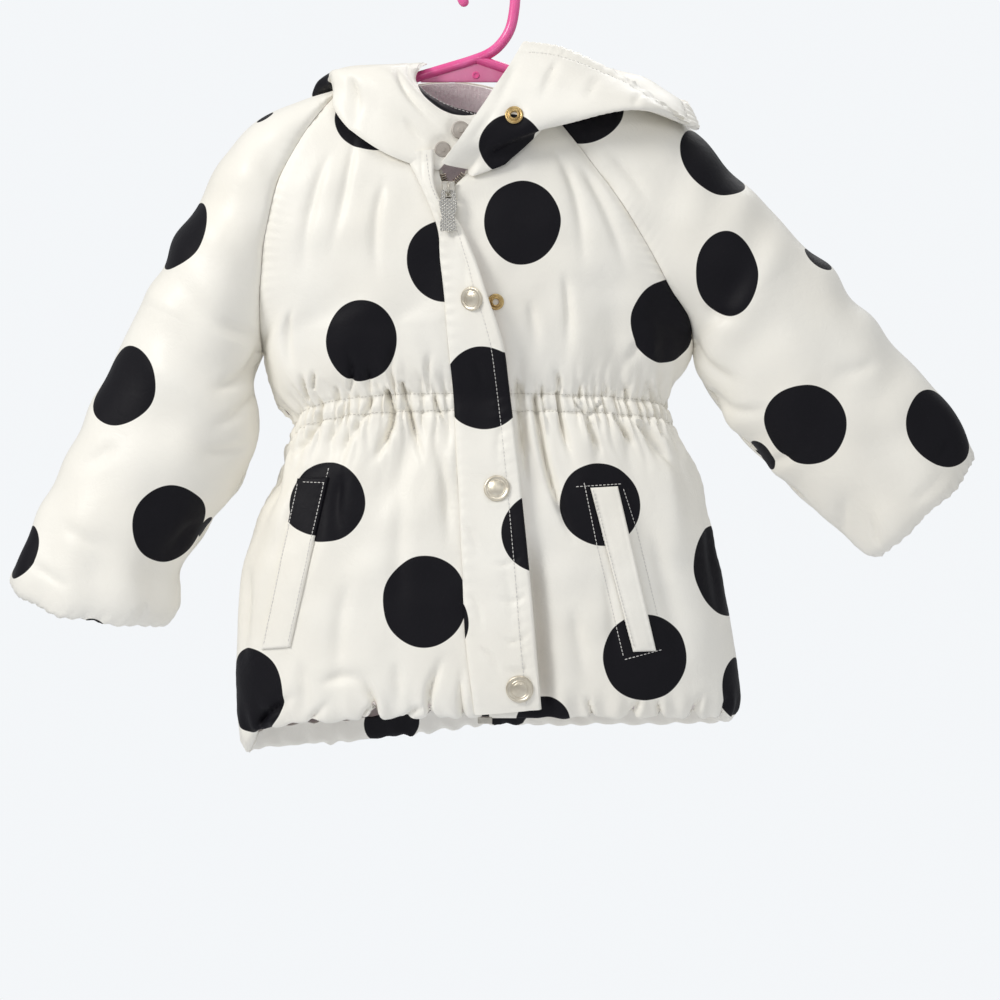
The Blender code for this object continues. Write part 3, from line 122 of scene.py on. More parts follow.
SLEEVE_LEFT_LOW = (
    ("elbow_1",  148.5, -290,   240,   -213,   46,   0),
    ("elbow_2",  164,   -313,   255,   -231,   46,   0),
    ("elbow_3",  180,   -335,   269,   -247,   45,   0),
    ("elbow_4",  199,   -355,   283.5, -263,   44,   0),
    ("wrist_1",  217,   -369,   298,   -278.5, 43,   0),
    ("wrist_2",  234,   -384,   313,   -295,   42,   0),
    ("wrist_3",  248.5, -398,   327,   -310,   41,   0),
    ("wrist_4",  259,   -408,   336,   -323,   40,   2),
    ("cuff",     268,   -414,   340.5, -338,   38,   5),
    ("turn",     276,   -413,   341,   -346.5, 32,   6),
    ("lip",      271,   -403,   333,   -340,   26,   3),
)
HOOD_LEFT = (
    # name, then x, y, z at the neck edge, rise, side, fold, fall and rim
    ("chin", (-32, -61, -143), (-20, -66, -127), (-8, -65, -110), (4, -58, -92), (15, -46, -74),
     (25, -30, -55)),
    ("lapel_1", (-7, -57, -147), (8, -68, -132), (24, -68, -112), (37, -60, -94), (48, -46, -76),
     (56, -29, -60)),
    ("lapel_2", (17, -52, -142), (38, -66, -126), (60, -68, -109), (78, -60, -97), (91, -46, -88),
     (100, -28, -82)),
    ("underfold", (36, -42, -116), (56, -60, -115), (80, -65, -109), (100, -62, -105),
     (118, -54, -104), (134, -40, -108)),
    ("shoulder", (47, -29, -98), (66, -44, -99), (88, -49, -100), (108, -46, -104),
     (128, -37, -111), (147, -24, -117)),
    ("top", (53, 2, -79), (70, 0, -73), (90, 0, -76), (109, 0, -82), (127, 0, -92), (144, 2, -104)),
    ("corner", (51, 14, -81), (68, 24, -84), (92, 34, -95), (114, 42, -103), (129, 43, -101),
     (138, 37, -91)),
    ("behind", (47, 25, -84), (66, 46, -100), (92, 63, -130), (108, 76, -142), (114, 78, -116),
     (108, 64, -90)),
    ("half_back", (16, 36, -86), (27, 56, -120), (42, 69, -182), (54, 90, -206), (58, 102, -150),
     (52, 90, -84)),
    ("centre", (-24, 43, -87), (-24, 58, -126), (-24, 68, -206), (-24, 91, -238), (-24, 108, -170),
     (-24, 98, -86)),
)
HOOD_RIGHT = (
    ("chin", (-33, -50, -145), (-26, -51, -138), (-18, -51, -130), (-10, -50, -123),
     (-4, -47, -116), (2, -43, -109)),
    ("lapel_1", (-59, -48, -128), (-51, -52, -121), (-45, -53, -114), (-39, -52, -108),
     (-35, -47, -103), (-33, -38, -98)),
    ("lapel_2", (-88, -38, -106), (-81, -46, -98), (-72, -49, -91), (-62, -47, -87),
     (-54, -40, -85), (-49, -30, -84)),
    ("side", (-104, -20, -90), (-109, -28, -80), (-96, -33, -76), (-79, -34, -74), (-62, -27, -72),
     (-47, -16, -72)),
    ("top", (-100, 0, -84), (-113, 3, -79), (-100, 5, -74), (-79, 6, -70), (-60, 6, -68),
     (-44, 6, -67)),
    ("corner", (-97, 11, -85), (-112, 19, -84), (-122, 28, -80), (-112, 38, -72), (-92, 38, -69),
     (-66, 34, -68)),
    ("behind", (-92, 21, -87), (-110, 38, -88), (-124, 54, -104), (-126, 68, -114), (-112, 75, -92),
     (-84, 63, -72)),
    ("half_back", (-66, 36, -87), (-78, 56, -120), (-92, 69, -182), (-102, 90, -206),
     (-100, 102, -150), (-84, 90, -82)),
    ("centre", (-24, 43, -87), (-24, 58, -126), (-24, 68, -206), (-24, 91, -238), (-24, 108, -170),
     (-24, 98, -86)),
)
FLAP = (
    # name     sewn_x  sewn_z  edge_x  edge_z lift
    ("top",     -58.8, -134.5, -37,    -133,   3.5),
    ("fold",    -46.9, -157.5, -35.7,  -162,   0.5),
    ("pull",    -35,   -187,   -19,    -185.5, 1),
    ("curl_1",  -33,   -209,   -8,     -211,   7),
    ("curl_2",  -30,   -236,   0,      -236,   11),
    ("curl_3",  -27.5, -267,   10.5,   -267,   8),
    ("waist_1", -24,   -302,   15,     -300,   4),
    ("waist_2", -22,   -341,   20,     -341,   3),
    ("snap_2",  -19.6, -383,   24.5,   -383,   3),
    ("skirt",   -17.5, -428,   29,     -428,   4),
    ("low",     -15.4, -474,   33,     -474,   4),
    ("bottom",  -9,    -524,   37,     -520,   3),
)
ZIP_BOTTOM = (-2.0, -525.0)         # x and z of the closed end
ZIP_TOP = (-27.0, -166.0)           # x and z of the last closed teeth, under the slider
ZIP_OPEN_RIGHT = -34.0              # x of the right front's edge at the neck, above the slider
ZIP_OPEN_LEFT = -13.0
ZIP_HALF_GAP = 3.0                  # half the space between the fronts for the teeth
ZIP_OPEN_END = -149                 # z up to which the open teeth run
ZIP_START_PLACE = 1.6               # section place where the closed teeth start
TAPE_START_PLACE = 3.0
TAPE_REACH = 2.6                    # of a tape past its front's edge, under the teeth
WELTS = {
    "pocket_welt_right": ((-110.5, -360), (-137, -478), (-132.5, -361), (-157.5, -480), 0.0),
    "pocket_welt_left": ((71, -367.5), (100.5, -481), (90, -366.5), (116.5, -480.5), 4.0),
}
LINING_MIDDLE = -24.0
LINING_HALF_WIDTH = 60.0
LINING_FIRST_PLACE = 16             # from the section raglan_4 up to the neck
HOOK_RADIUS = 19.4                  # of the hook's middle line
HOOK_SWEEP = 208.0                  # degrees from the stem over the crest to the tip
RIM_WIRE = 3.7                      # radius of the rim all along the hanger
STEM_ROUTE = ((18.5, -30.0), (15.5, -44.0), (9.0, -54.5), (0.5, -61.5), (-12.0, -66.5))   # x, z
ARM_RIGHT = ((-30.0, -72.0), (-60.0, -80.8), (-90.0, -88.6), (-116.0, -97.1))
ARM_LEFT = ((-8, -65.3), (19, -74.5), (50, -85.9), (84, -97.8), (110, -106.3), (131, -114.7))
WEB_TOP = ((-47, -76.5), (-12, -66.5), (2, -66), (20, -76), (33, -81.5))     # x, z of its upper edge
WEB_LEVEL = -81.5                   # of the web's lower edge
WEB_MARK = (-8.5, -76.8)            # x, z of the round moulding mark on the web
MARK_PROFILE = ((0, -2), (2.2, -2), (2.6, -1.6), (2.6, 1.6), (2.2, 2), (1.6, 2), (1.4, 1.6), (0, 1.6))

# Snaps: name, kind, finish, place of the flat back, facing and size
SNAPS = (
    ("snap_cap_top", "cap", "champagne", -11.02, -69.393, -237.128, (-0.473, -0.874, -0.116), 0.92),
    ("snap_cap_middle", "cap", "champagne", 6.266, -63.745, -367.96, (-0.099, -0.988, 0.116), 1),
    ("snap_cap_low", "cap", "champagne", 21.959, -72.112, -506.044, (-0.105, -0.988, -0.112), 1.05),
    ("snap_socket_front", "socket", "brass", 5.459, -60.573, -239.006, (-0.074, -0.997, -0.010), 0.9),
    ("snap_socket_hood", "socket", "brass", 18.173, -67.291, -110.405, (-0.069, -0.967, 0.246), 1),
    ("snap_back_upper", "back", "snap_grey", -18.938, -51.264, -119.441, (0.163, -0.974, 0.154), 1),
    ("snap_back_lower", "back", "snap_grey", -31.479, -52.576, -133.008, (0.068, -0.997, -0.026), 0.86),
)

# Turned snaps: radius and height of the profile's points, from the flat back on
SNAP_PROFILES = {
    "cap": ((0, 0), (8.2, 0), (8.8, 0.35), (9, 0.95), (8.75, 1.6), (8.2, 2), (7.6, 2.05), (7.1, 1.75),
            (6.7, 1.45), (6.3, 1.4), (5.9, 1.5), (5.6, 1.72), (5.3, 1.5), (5, 1.55), (4.2, 2), (3, 2.35),
            (1.6, 2.52), (0, 2.58)),
    "socket": ((2.3, 0), (5.7, 0), (6.2, 0.3), (6.3, 0.7), (6, 1.1), (5.5, 1.25), (5, 1.15), (4.5, 0.9),
               (4.1, 1), (3.8, 1.6), (3.5, 2), (3.1, 2.1), (2.7, 2), (2.4, 1.6)),
    "back": ((0, 0), (6.2, 0), (6.55, 0.3), (6.4, 0.8), (5.9, 1.1), (5.3, 1.2), (5, 1.05), (4.6, 1),
             (2.2, 1.15), (1.9, 1.5), (0, 1.55)),
}

# Gathers at the waist casing: x where each crosses the casing, depth, reach above and reach below
GATHERS = {
    "front_right": (
        (-139.6, 2, 9.4, 12.2), (-136.5, 2.4, 10.4, 12.9), (-132.3, 2, 8.4, 15.8),
        (-127.4, 2.4, 13.5, 20.6), (-122.5, 1.9, 12.6, 13.7), (-116.9, 2.4, 11.2, 14.3),
        (-106.4, 2.2, 9, 12.3), (-97.3, 2, 9.3, 22.1), (-90, 1.2, 13, 20.7),
        (-81.9, 2.1, 12.8, 13.3), (-73.5, 1.8, 9.9, 18.5), (-70, 1.4, 12.4, 21.3),
        (-64.4, 1.9, 13.3, 12), (-58.8, 1.6, 11.6, 19.1), (-53.9, 1.6, 11, 13.1),
        (-45.5, 1.8, 10.8, 12.1), (-36.4, 1.6, 13.6, 21.4), (-28.7, 1.5, 11.3, 14.6),
    ),
    "front_left": (
        (20.3, 1.6, 13.5, 17.9), (24.5, 1.8, 13.3, 21.2), (33.6, 1.7, 11.1, 16),
        (38.5, 1.5, 11.6, 16.2), (49, 1.9, 9, 14.7), (60.9, 1.7, 12.9, 11.5),
        (65.8, 1.9, 8.3, 18.5), (70, 2.1, 9.7, 17.4), (74.9, 1.8, 10.8, 15.1),
        (81.2, 2.1, 14, 13.3), (89.6, 2, 10.5, 13.4), (93.1, 1.6, 11.8, 14.3), (98, 2.2, 10.1, 20),
        (106.4, 2, 9.9, 17.7), (110.6, 2.2, 13.4, 12.2), (116.9, 2.3, 8.4, 13.7),
        (121.8, 2, 12.6, 18.4), (126, 2.4, 9.4, 15), (130.5, 1.8, 9.1, 16.5),
    ),
    "back": (
        (-134, 2.1, 8.3, 19.4), (-126.4, 1.9, 13.4, 22.5), (-118.3, 1.4, 12.4, 22.5),
        (-112.1, 2.3, 8.1, 14.5), (-107.1, 1.6, 13.8, 20.3), (-100.4, 1.6, 10.5, 22.3),
        (-91.2, 2.3, 11.7, 20.8), (-85.9, 1.4, 9.8, 13.3), (-82.1, 1.9, 10.7, 12.6),
        (-72.4, 2.1, 10.3, 22.5), (-64.5, 1.3, 10, 11.1), (-61.5, 2.2, 8.3, 13),
        (-54.3, 1.8, 12.7, 15.4), (-45.2, 1.4, 9.7, 12.2), (-39.8, 2.3, 13.9, 16.1),
        (-34.6, 1.5, 9.2, 11.7), (-27.4, 1.7, 8.3, 13), (-19.2, 2.2, 12.1, 12.8),
        (-13, 1.3, 8.2, 16.9), (-8.9, 2, 9.5, 23), (-0.7, 2, 8.7, 17.4), (8.4, 1.3, 12.6, 15.9),
        (11.7, 2.2, 13.9, 16.7), (17.4, 1.7, 9.5, 15.9), (27.6, 1.5, 8.2, 16.1),
        (33.3, 2.3, 9.5, 21.7), (37.5, 1.4, 13, 17), (45.5, 1.8, 8.2, 14.1), (53.4, 2.2, 9.5, 13.5),
        (59.3, 1.3, 9.4, 21.4), (64.3, 2.1, 8.9, 11.6), (71.5, 1.9, 13.6, 17.8),
        (80.5, 1.4, 13.9, 15.8), (85.3, 2.3, 13.4, 18.8), (89.6, 1.6, 12.7, 19.9),
        (99.7, 1.6, 11, 12.1), (106.7, 2.3, 9.3, 21.5), (109.8, 1.4, 13.4, 22.1),
        (117.7, 1.9, 10, 18.9), (126.5, 2.1, 12.8, 18.7),
    ),
}

# Valleys and folds in the front view (the back's from behind): three points as x, z, then width,
# depth and 1 where the head starts at full depth
VALLEYS = {
    "front_right": (
        (-108, -130, -124, -178, -128, -232, 8, 1.6, 0),
        (-92, -118, -100, -165, -112, -215, 7, 1.4, 0),
        (-70, -150, -78, -190, -74, -236, 8, 1.4, 0),
        (-136, -240, -140, -265, -134, -288, 5, 1.8, 0),
        (-70, -301.7, -67.9, -325.5, -84.7, -354.2, 4.6, 5, 1),
        (-59.5, -296.1, -53.2, -319.9, -42.7, -357.7, 3.6, 3.4, 1),
        (-37.1, -305.2, -32.2, -316.4, -25.9, -327.6, 3, 2.2, 1),
        (-118.3, -316.4, -126, -332.5, -142.8, -347.2, 4.2, 3.4, 1),
        (-81.5, -307.3, -92.4, -326.9, -107.1, -347.2, 5, 2.4, 1),
        (-107.1, -296.1, -105, -303.8, -104.3, -311.5, 2.6, 2, 0),
        (-100.1, -307.3, -105, -323.4, -116.2, -340.9, 3.2, 1.8, 1),
        (-121.8, -297.5, -122.1, -291.2, -122.5, -284.9, 2.6, 2.4, 1),
        (-125.3, -305.2, -128.8, -295.4, -131.6, -284.9, 2.6, 2.8, 1),
        (-96.6, -300.3, -94.5, -284.9, -98.7, -267.4, 4.2, 1.7, 1),
        (-65.1, -297.5, -67.2, -281.4, -63, -263.9, 4.4, 1.6, 1),
        (-40.6, -300.3, -42, -284.9, -38.5, -270.9, 3.6, 1.4, 1),
        (-81.2, -298.9, -82.6, -290.5, -80.5, -279.3, 3, 1.4, 1),
        (-143.5, -333.9, -149.1, -361.9, -158.2, -396.9, 6, 2.6, 0),
        (-100.1, -354.9, -105, -382.9, -102.2, -414.4, 10, 1.6, 0),
        (-58.1, -361.9, -61.6, -417.9, -58.8, -473.9, 14, 1.6, 0),
        (-95.2, -424.9, -103.6, -473.9, -100.8, -524.3, 12, 1.6, 0),
        (-33.6, -333.9, -28.7, -375.9, -26.6, -417.9, 7, 2, 0),
        (-166.6, -417.9, -170.8, -459.9, -171.5, -508.9, 8, 2.2, 0),
        (-131.6, -484.4, -127.4, -508.9, -131.6, -531.3, 9, 1.6, 0),
        (-65.1, -484.4, -61.6, -508.9, -64.4, -529.9, 9, 1.5, 0),
        (-160, -534, -150, -522, -128, -508, 5.5, 2.6, 1),
        (-124, -533, -118, -524, -106, -512, 5, 1.8, 0),
        (-79, -532, -80, -514, -92, -492, 5.5, 3.4, 1),
        (-88, -530, -84, -524, -76, -517, 3.4, 1.8, 0),
        (-58, -531, -52, -523, -40, -518, 3.6, 1.6, 0),
        (-38, -530, -40, -508, -27, -478, 5, 3.2, 1),
        (-16, -528, -19, -512, -17, -486, 3.6, 2.2, 1),
        (-118, -506, -98, -498, -82, -508, 8, 1.6, 0),
    ),
    "front_left": (
        (21, -299.6, 23.8, -333.9, 27.3, -375.9, 5, 3.6, 1),
        (32.9, -305.2, 44.1, -361.9, 63.7, -412.3, 4.6, 4.2, 1),
        (48.6, -302.4, 52.5, -325.5, 60.2, -352.8, 3.2, 2.8, 1),
        (70, -317.1, 72.8, -331.1, 81.2, -345.8, 4.2, 3.4, 1),
        (59.5, -305.9, 64.4, -312.2, 70, -317.1, 2.6, 2.2, 0),
        (80.5, -305.9, 75.6, -312.2, 70, -317.1, 2.6, 2.2, 0),
        (88.9, -317.1, 95.9, -328.3, 106.4, -340.2, 3.4, 2.8, 1),
        (106.4, -323.4, 121.1, -340.9, 135.1, -361.2, 6.4, 3.4, 1),
        (117.6, -321.3, 120.4, -328.3, 123.2, -334.6, 2.6, 1.8, 0),
        (24.1, -302.4, 21, -296.8, 17.5, -290.5, 3, 2.2, 1),
        (37.8, -304.5, 37.8, -299.6, 37.1, -294.7, 2.6, 1.8, 1),
        (50.4, -299.6, 49.3, -292.6, 47.6, -284.9, 3, 2.2, 1),
        (63.7, -304.5, 63.7, -297.5, 63, -290.5, 2.6, 2, 1),
        (83.3, -302.4, 82.6, -298.2, 81.2, -294, 2.6, 1.6, 1),
        (98, -303.8, 95.9, -298.2, 93.8, -292.6, 2.6, 1.8, 1),
        (117.6, -307.3, 114.1, -298.9, 110.6, -290.5, 3.2, 2.4, 1),
        (127.4, -309.4, 132.3, -299.6, 139.3, -287, 3.6, 3, 1),
        (113.4, -389.9, 126, -445.9, 141.4, -508.9, 13, 2, 0),
        (58.8, -445.9, 64.4, -480.9, 71.4, -515.9, 12, 1.6, 0),
        (149.8, -354.9, 158.2, -417.9, 163.8, -473.9, 8, 2, 0),
        (82.6, -417.9, 86.8, -459.9, 89.6, -508.9, 9, 1.4, 0),
        (28, -235.9, 32.2, -256.9, 33.6, -279.3, 8, 1.5, 0),
        (106.4, -263.9, 100.8, -274.4, 93.8, -286.3, 7, 1.4, 0),
        (72.8, -529, 70, -518, 67.9, -510, 3.2, 2, 1),
        (98, -530, 103, -520, 106.4, -509, 3.6, 2.4, 1),
        (120.4, -531, 119, -521, 116.9, -512, 3.2, 2.2, 1),
        (141.4, -532, 146, -520, 149.8, -507, 3.8, 2.6, 1),
        (163.8, -531, 166, -522, 168, -512, 3.2, 2.2, 1), (44, -130, 62, -170, 66, -230, 7, 1.6, 0),
        (62, -140, 84, -180, 100, -232, 8, 1.8, 0), (52, -215, 56, -250, 54, -285, 6, 1.6, 0),
    ),
    "storm_flap": (
        (-12.6, -277.9, -4.2, -290.5, -8.4, -303.1, 6, 1, 0),
        (11.9, -319.9, 7, -340.9, 11.9, -361.9, 5, 0.9, 0),
        (8.4, -417.9, 16.8, -445.9, 14, -473.9, 7, 0.9, 0),
        (-18.2, -200.9, -14, -221.9, -18.2, -242.9, 6, 0.9, 0),
        (13, -372, 5, -376, -4, -372, 2.6, 1.1, 1), (22, -415, 10, -421, 0, -418, 2.8, 1.2, 1),
        (25, -442, 14, -446, 2, -440, 3, 1.3, 1), (27, -470, 16, -474, 8, -468, 2.6, 1.2, 1),
        (28, -489, 18, -494, 6, -490, 2.8, 1.1, 1), (-18, -392, -10, -402, -4, -418, 3.4, 1.2, 1),
        (-8, -476, 4, -486, 10, -500, 3.6, 1.4, 0), (-14, -440, -6, -452, -4, -468, 3.4, 1.2, 0),
    ),
    "sleeve_right": (
        (-161, -272.3, -175, -291.9, -198.1, -300.3, 7, 2.6, 1),
        (-158.2, -291.9, -173.6, -314.3, -196, -325.5, 6, 2.2, 1),
        (-166.6, -333.9, -182, -342.3, -204.4, -342.3, 8, 2, 0),
        (-158.2, -256.9, -173.6, -256.9, -191.8, -248.5, 8, 1.4, 0),
        (-299.6, -389.9, -278.6, -403.9, -256.2, -409.5, 10, 1.5, 0),
        (-320.6, -417.9, -305.2, -429.1, -285.6, -438.9, 6, 1.4, 0),
        (-236.6, -445.9, -243.6, -458.5, -252, -469.7, 5, 1.6, 0),
        (-201.6, -389.9, -215.6, -403.9, -224, -422.1, 8, 1.8, 0),
        (-257.6, -333.9, -274.4, -347.9, -292.6, -354.9, 12, 1.6, 0),
        (-131.6, -130.9, -142.8, -155.4, -151.2, -181.3, 7, 1.6, 0),
    ),
    "sleeve_left": (
        (146.3, -267.4, 158.9, -286.3, 179.9, -295.4, 7, 2.6, 1),
        (156.8, -302.4, 177.8, -314.3, 200.9, -309.4, 7, 2.2, 1),
        (190.4, -351.4, 211.4, -344.4, 228.9, -326.9, 8, 1.8, 0),
        (148.4, -235.9, 163.8, -248.5, 184.8, -247.1, 9, 1.5, 0),
        (291.9, -379.4, 309.4, -367.5, 322, -351.4, 8, 1.6, 0),
        (274.4, -409.5, 268.8, -396.9, 266, -381.5, 5, 1.6, 0),
        (253.4, -403.9, 247.8, -386.4, 250.6, -370.3, 7, 1.5, 0),
        (274.4, -277.9, 253.4, -286.3, 235.9, -286.3, 12, 1.6, 0),
        (78.4, -130.9, 100.8, -151.9, 113.4, -176.4, 8, 1.5, 0),
        (326.9, -333.9, 316.4, -342.3, 309.4, -354.9, 5, 1.2, 0),
    ),
    "hood_right": (
        (-96.6, -78.4, -90.3, -95.9, -86.1, -116.9, 4.5, 3.6, 0),
        (-65.1, -74.9, -53.2, -98, -26.6, -123.9, 4.2, 2.6, 0),
        (-107.1, -81.9, -105, -95.9, -100.1, -109.9, 4.5, 1.8, 0),
        (-58.1, -109.9, -51.1, -120.4, -40.6, -130.9, 4, 1.4, 0),
    ),
    "hood_left": (
        (22.4, -67.9, 11.9, -92.4, 1.4, -113.4, 6, 1.6, 0),
        (50.4, -67.9, 42, -85.4, 36.4, -106.4, 5, 1.8, 0),
        (78.4, -80.5, 71.4, -92.4, 67.9, -101.5, 4.5, 1.8, 0),
        (106.4, -93.8, 102.2, -100.1, 99.4, -105.7, 4, 1.4, 0),
        (8.4, -102.9, -5.6, -120.4, -18.2, -136.5, 5, 1.4, 0),
    ),
    "back": (
        (-60, -330, -70, -370, -62, -420, 6, 3.2, 1), (-20, -330, -14, -372, -24, -430, 5, 2.8, 1),
        (22, -330, 30, -370, 24, -410, 5, 2.6, 1), (64, -334, 76, -372, 92, -420, 6, 3.2, 1),
        (-100, -338, -112, -372, -126, -410, 5, 2.8, 1),
        (104, -336, 116, -366, 130, -400, 5, 2.6, 1), (-40, -300, -36, -280, -42, -258, 4, 2, 1),
        (0, -300, 4, -278, -2, -252, 4, 1.8, 1), (44, -302, 40, -282, 48, -262, 4, 2, 1),
        (86, -305, 90, -288, 98, -268, 4, 2.2, 1), (-84, -304, -88, -286, -96, -266, 4, 2.2, 1),
        (-118, -310, -126, -294, -138, -278, 4, 2.4, 1),
        (118, -308, 124, -292, 134, -276, 4, 2.4, 1), (-90, -440, -96, -480, -92, -515, 12, 1.8, 0),
        (-30, -450, -36, -485, -30, -518, 13, 1.7, 0), (34, -445, 40, -480, 36, -515, 12, 1.7, 0),
        (96, -440, 104, -478, 100, -512, 12, 1.8, 0), (-60, -190, -30, -212, 10, -215, 10, 1.4, 0),
        (20, -160, 4, -188, -40, -196, 10, 1.2, 0),
    ),
}

# Printed dots: x, z, radius, and -1 where it faces the front, 1 the back, or else its depth. Then,
# where it isn't round, how much shorter it is than its radius across, up and in depth, as factors
DOTS = {
    "front_right": (
        (-27.3, -210.7, 28.7, -1), (-88.2, -266, 28.2, -1, 1.12, 1), (-112.7, -377.3, 28.2, -1),
        (-43.4, -445.9, 29.5, -1, 1, 0.93), (-168.7, -509.6, 31, -1), (-79.5, -105.5, 28.5, -1),
    ),
    "front_left": (
        (23.8, -184.1, 28.9, -1, 1.1, 0.98), (78.4, -378.7, 28.8, -1), (109.9, -484.4, 30, -1),
        (126, -251.3, 29.2, -1, 1, 0.98), (168, -424.9, 33, -1), (180.5, -507.5, 23, -1),
        (38, -531, 19.5, -1),
    ),
    "sleeve_right": (
        (-218, -188, 27, -1, 1, 1, 0.85), (-140, -182.7, 29.4, -1), (-161, -104.3, 11, -1, 1, 1.4),
        (-256.9, -295.4, 29, -1), (-219.8, -394.1, 28.4, -1), (-334.6, -408.8, 23, -1),
        (-192.5, -399, 11, -1, 1.1, 1), (-276.5, -469, 11, -1), (-165, -192, 28.4, 1),
        (-228, -254, 28.4, 1), (-188, -314, 26, 1), (-254, -338, 28.4, 1), (-302, -405, 27, 1),
        (-232, -402, 28.4, 1),
    ),
    "sleeve_left": (
        (160, -137, 28.4, -1, 1, 1, 0.85), (165.9, -219.1, 30, -1, 1.4, 1), (219.8, -324.1, 29, -1),
        (317.8, -324.8, 28.7, -1), (188.3, -347.9, 14, -1), (233.8, -203.7, 13, -1),
        (67.2, -100.8, 28, -1), (112, -128, 26, 1), (150, -212, 28.4, 1), (212, -196, 27, 1),
        (208, -272, 28.4, 1), (272, -262, 27, 1), (262, -338, 28.4, 1),
    ),
    "storm_flap": (
        (-2.8, -297.5, 29, -1), (-39.2, -461.3, 26.5, -1), (37.8, -398.3, 28.4, -1),
    ),
    "hood_right": (
        (-20.3, -81.2, 29.4, -38), (-119, -88, 17, 22), (-90, -180, 26, 1), (-50, -120, 24, 1),
    ),
    "hood_left": (
        (16, -131.5, 22, -1), (40, -150, 26, 1), (90, -110, 22, 1), (0, -215, 24, 1),
    ),
    "back": (
        (-110, -210, 28.4, 1), (-10, -175, 28.4, 1), (86, -240, 28.4, 1), (-45, -262, 28.4, 1),
        (30, -320, 28.4, 1), (-100, -345, 28.4, 1), (112, -365, 28.4, 1), (-35, -395, 28.4, 1),
        (60, -430, 28.4, 1), (-130, -440, 28.4, 1), (-56, -466, 28.4, 1), (140, -488, 28.4, 1),
        (12, -512, 28.4, 1), (-69.3, -534, 20, 49),
    ),
    "pocket_welt_right": (
        (-117.6, -370.3, 30.5, -1),
    ),
    "pocket_welt_left": (),
}

# Sewn lines round the pockets: the piece and x, z of the line's points
STITCH_LINES = (
    ("front_right", ((-110.6, -352.8), (-111.3, -356.3), (-112.7, -361.9))),
    ("pocket_welt_right", ((-129.5, -363.3), (-112.7, -364))),
    ("front_left", ((60.2, -366.8), (93.1, -364.7))),
    ("pocket_welt_left", ((72.8, -368.2), (81.2, -408.1), (98, -473.9))),
    ("front_left", ((66.5, -363.3), (75.6, -408.1), (93.8, -484.4))),
    ("front_left", ((93.8, -367.5), (103.6, -397.6), (117.6, -456.4))),
    ("front_left", ((93.8, -486.5), (121.1, -479.5))),
)

CASING_STITCH = 5.8                 # of the waist's two sewn rows from the casing's middle
FLAP_STITCH = 8.4                   # of the flap's sewn row from its open edge
HOOD_STITCH = {"right": 2.6, "left": 12.0}      # of the hood's sewn rows from its rim
CLOSE_STITCH = (2.6, (1.0, 0.34, 0.3))          # pitch, and half sizes of a stitch

# Ruches of the hood's elastic rim: their pitch, and their height at stations along the rim
RUCHE_PITCH = {"right": 9.0, "left": 5.6}
RUCHE_STRENGTH = {
    "right": ((0, 1, 2, 3, 4, 5, 6, 7, 8), (0.2, 0.2, 0.15, 0.15, 0.3, 0.8, 1.2, 1.2, 1.0)),
    "left": ((0, 1, 2, 3, 4, 5, 6, 7, 8, 9), (0.6, 1.0, 1.7, 2.2, 2.2, 1.8, 1.5, 1.3, 1.2, 1.0)),
}
HOOD_FINE = 14          # rows between two stations of the hood
HOOD_ACROSS = 72        # points from its neck edge to its rim

# How far the hood's lapels hang over the neck seam, at stations along it, and the snaps on them
HOOD_LIP = {
    "right": ((0, 1, 2, 2.8, 3.5, 4, 9), (3.0, 9.0, 15.0, 14.0, 5.0, 0.0, 0.0)),
    "left": ((0, 0.5, 1, 2, 3, 3.8, 9), (0.0, 3.0, 11.0, 13.0, 6.0, 0.0, 0.0)),
}
HOOD_SNAPS = {"right": ("snap_back_upper", "snap_back_lower"), "left": ("snap_socket_hood",)}
# Places along the front hem where it is drawn up: x, half width and rise
HEM_NOTCHES = {
    "front_right": (
        (-159, 6, 2.6), (-122, 7, 1.4), (-80, 5.5, 3.8), (-57, 5, 1.2), (-37, 5, 2.6),
        (-17, 4, 1.2),
    ),
    "front_left": (
        (73, 4, 2.2), (98, 5, 3), (120, 4, 2.6), (142, 5, 3.2), (164, 4, 2.6),
    ),
}
NECK_RISE = 10.0        # the back of the neck and the hood's foot stand up behind the hanger

# Camera, lamps and floor, in metres
CAMERA_PLACE = (0.0084, -3.2, -0.3759)
CAMERA_LENS = 163.5
LAMPS = (
    # name, place, aim, diameter, power, tint
    ("key", (-1.75, -1.35, 1.0), (0, 0, -0.3), 0.8, 31.0, (1.0, 0.985, 0.955)),
    ("fill", (1.9, -2.2, 0.1), (0, 0, -0.3), 1.6, 5.0, (0.96, 0.98, 1.0)),
    ("front", (-0.15, -2.9, 0.75), (0, 0, -0.1), 0.5, 5.0, (1.0, 0.99, 0.985)),
    ("top", (0.15, -0.5, 1.3), (0, 0, -0.1), 0.6, 4.0, (1.0, 0.99, 0.98)),
    ("rim", (0.7, 1.5, 1.3), (0, 0, -0.25), 1.2, 12.0, (1.0, 1.0, 1.0)),
)
FLOOR_LEVEL = -0.95
FLOOR_PROFILE = ((0, 0.5, 1, 1.4, 1.6, 1.66, 1.68), (0, 0, 0, 0, 0, -0.004, -0.02))     # radius, height


# ---------------------------------------------------------------- curves and grids

def unit(v):
    return v / np.maximum(np.linalg.norm(v, axis=-1, keepdims=True), 1e-9)


def ease(a, b, x):
    """Smooth step from 0 at a to 1 at b: t squared times (3 - 2 t)."""
    t = np.clip((np.asarray(x, float) - a) / (b - a), 0, 1)
    return t * t * (3 - 2 * t)


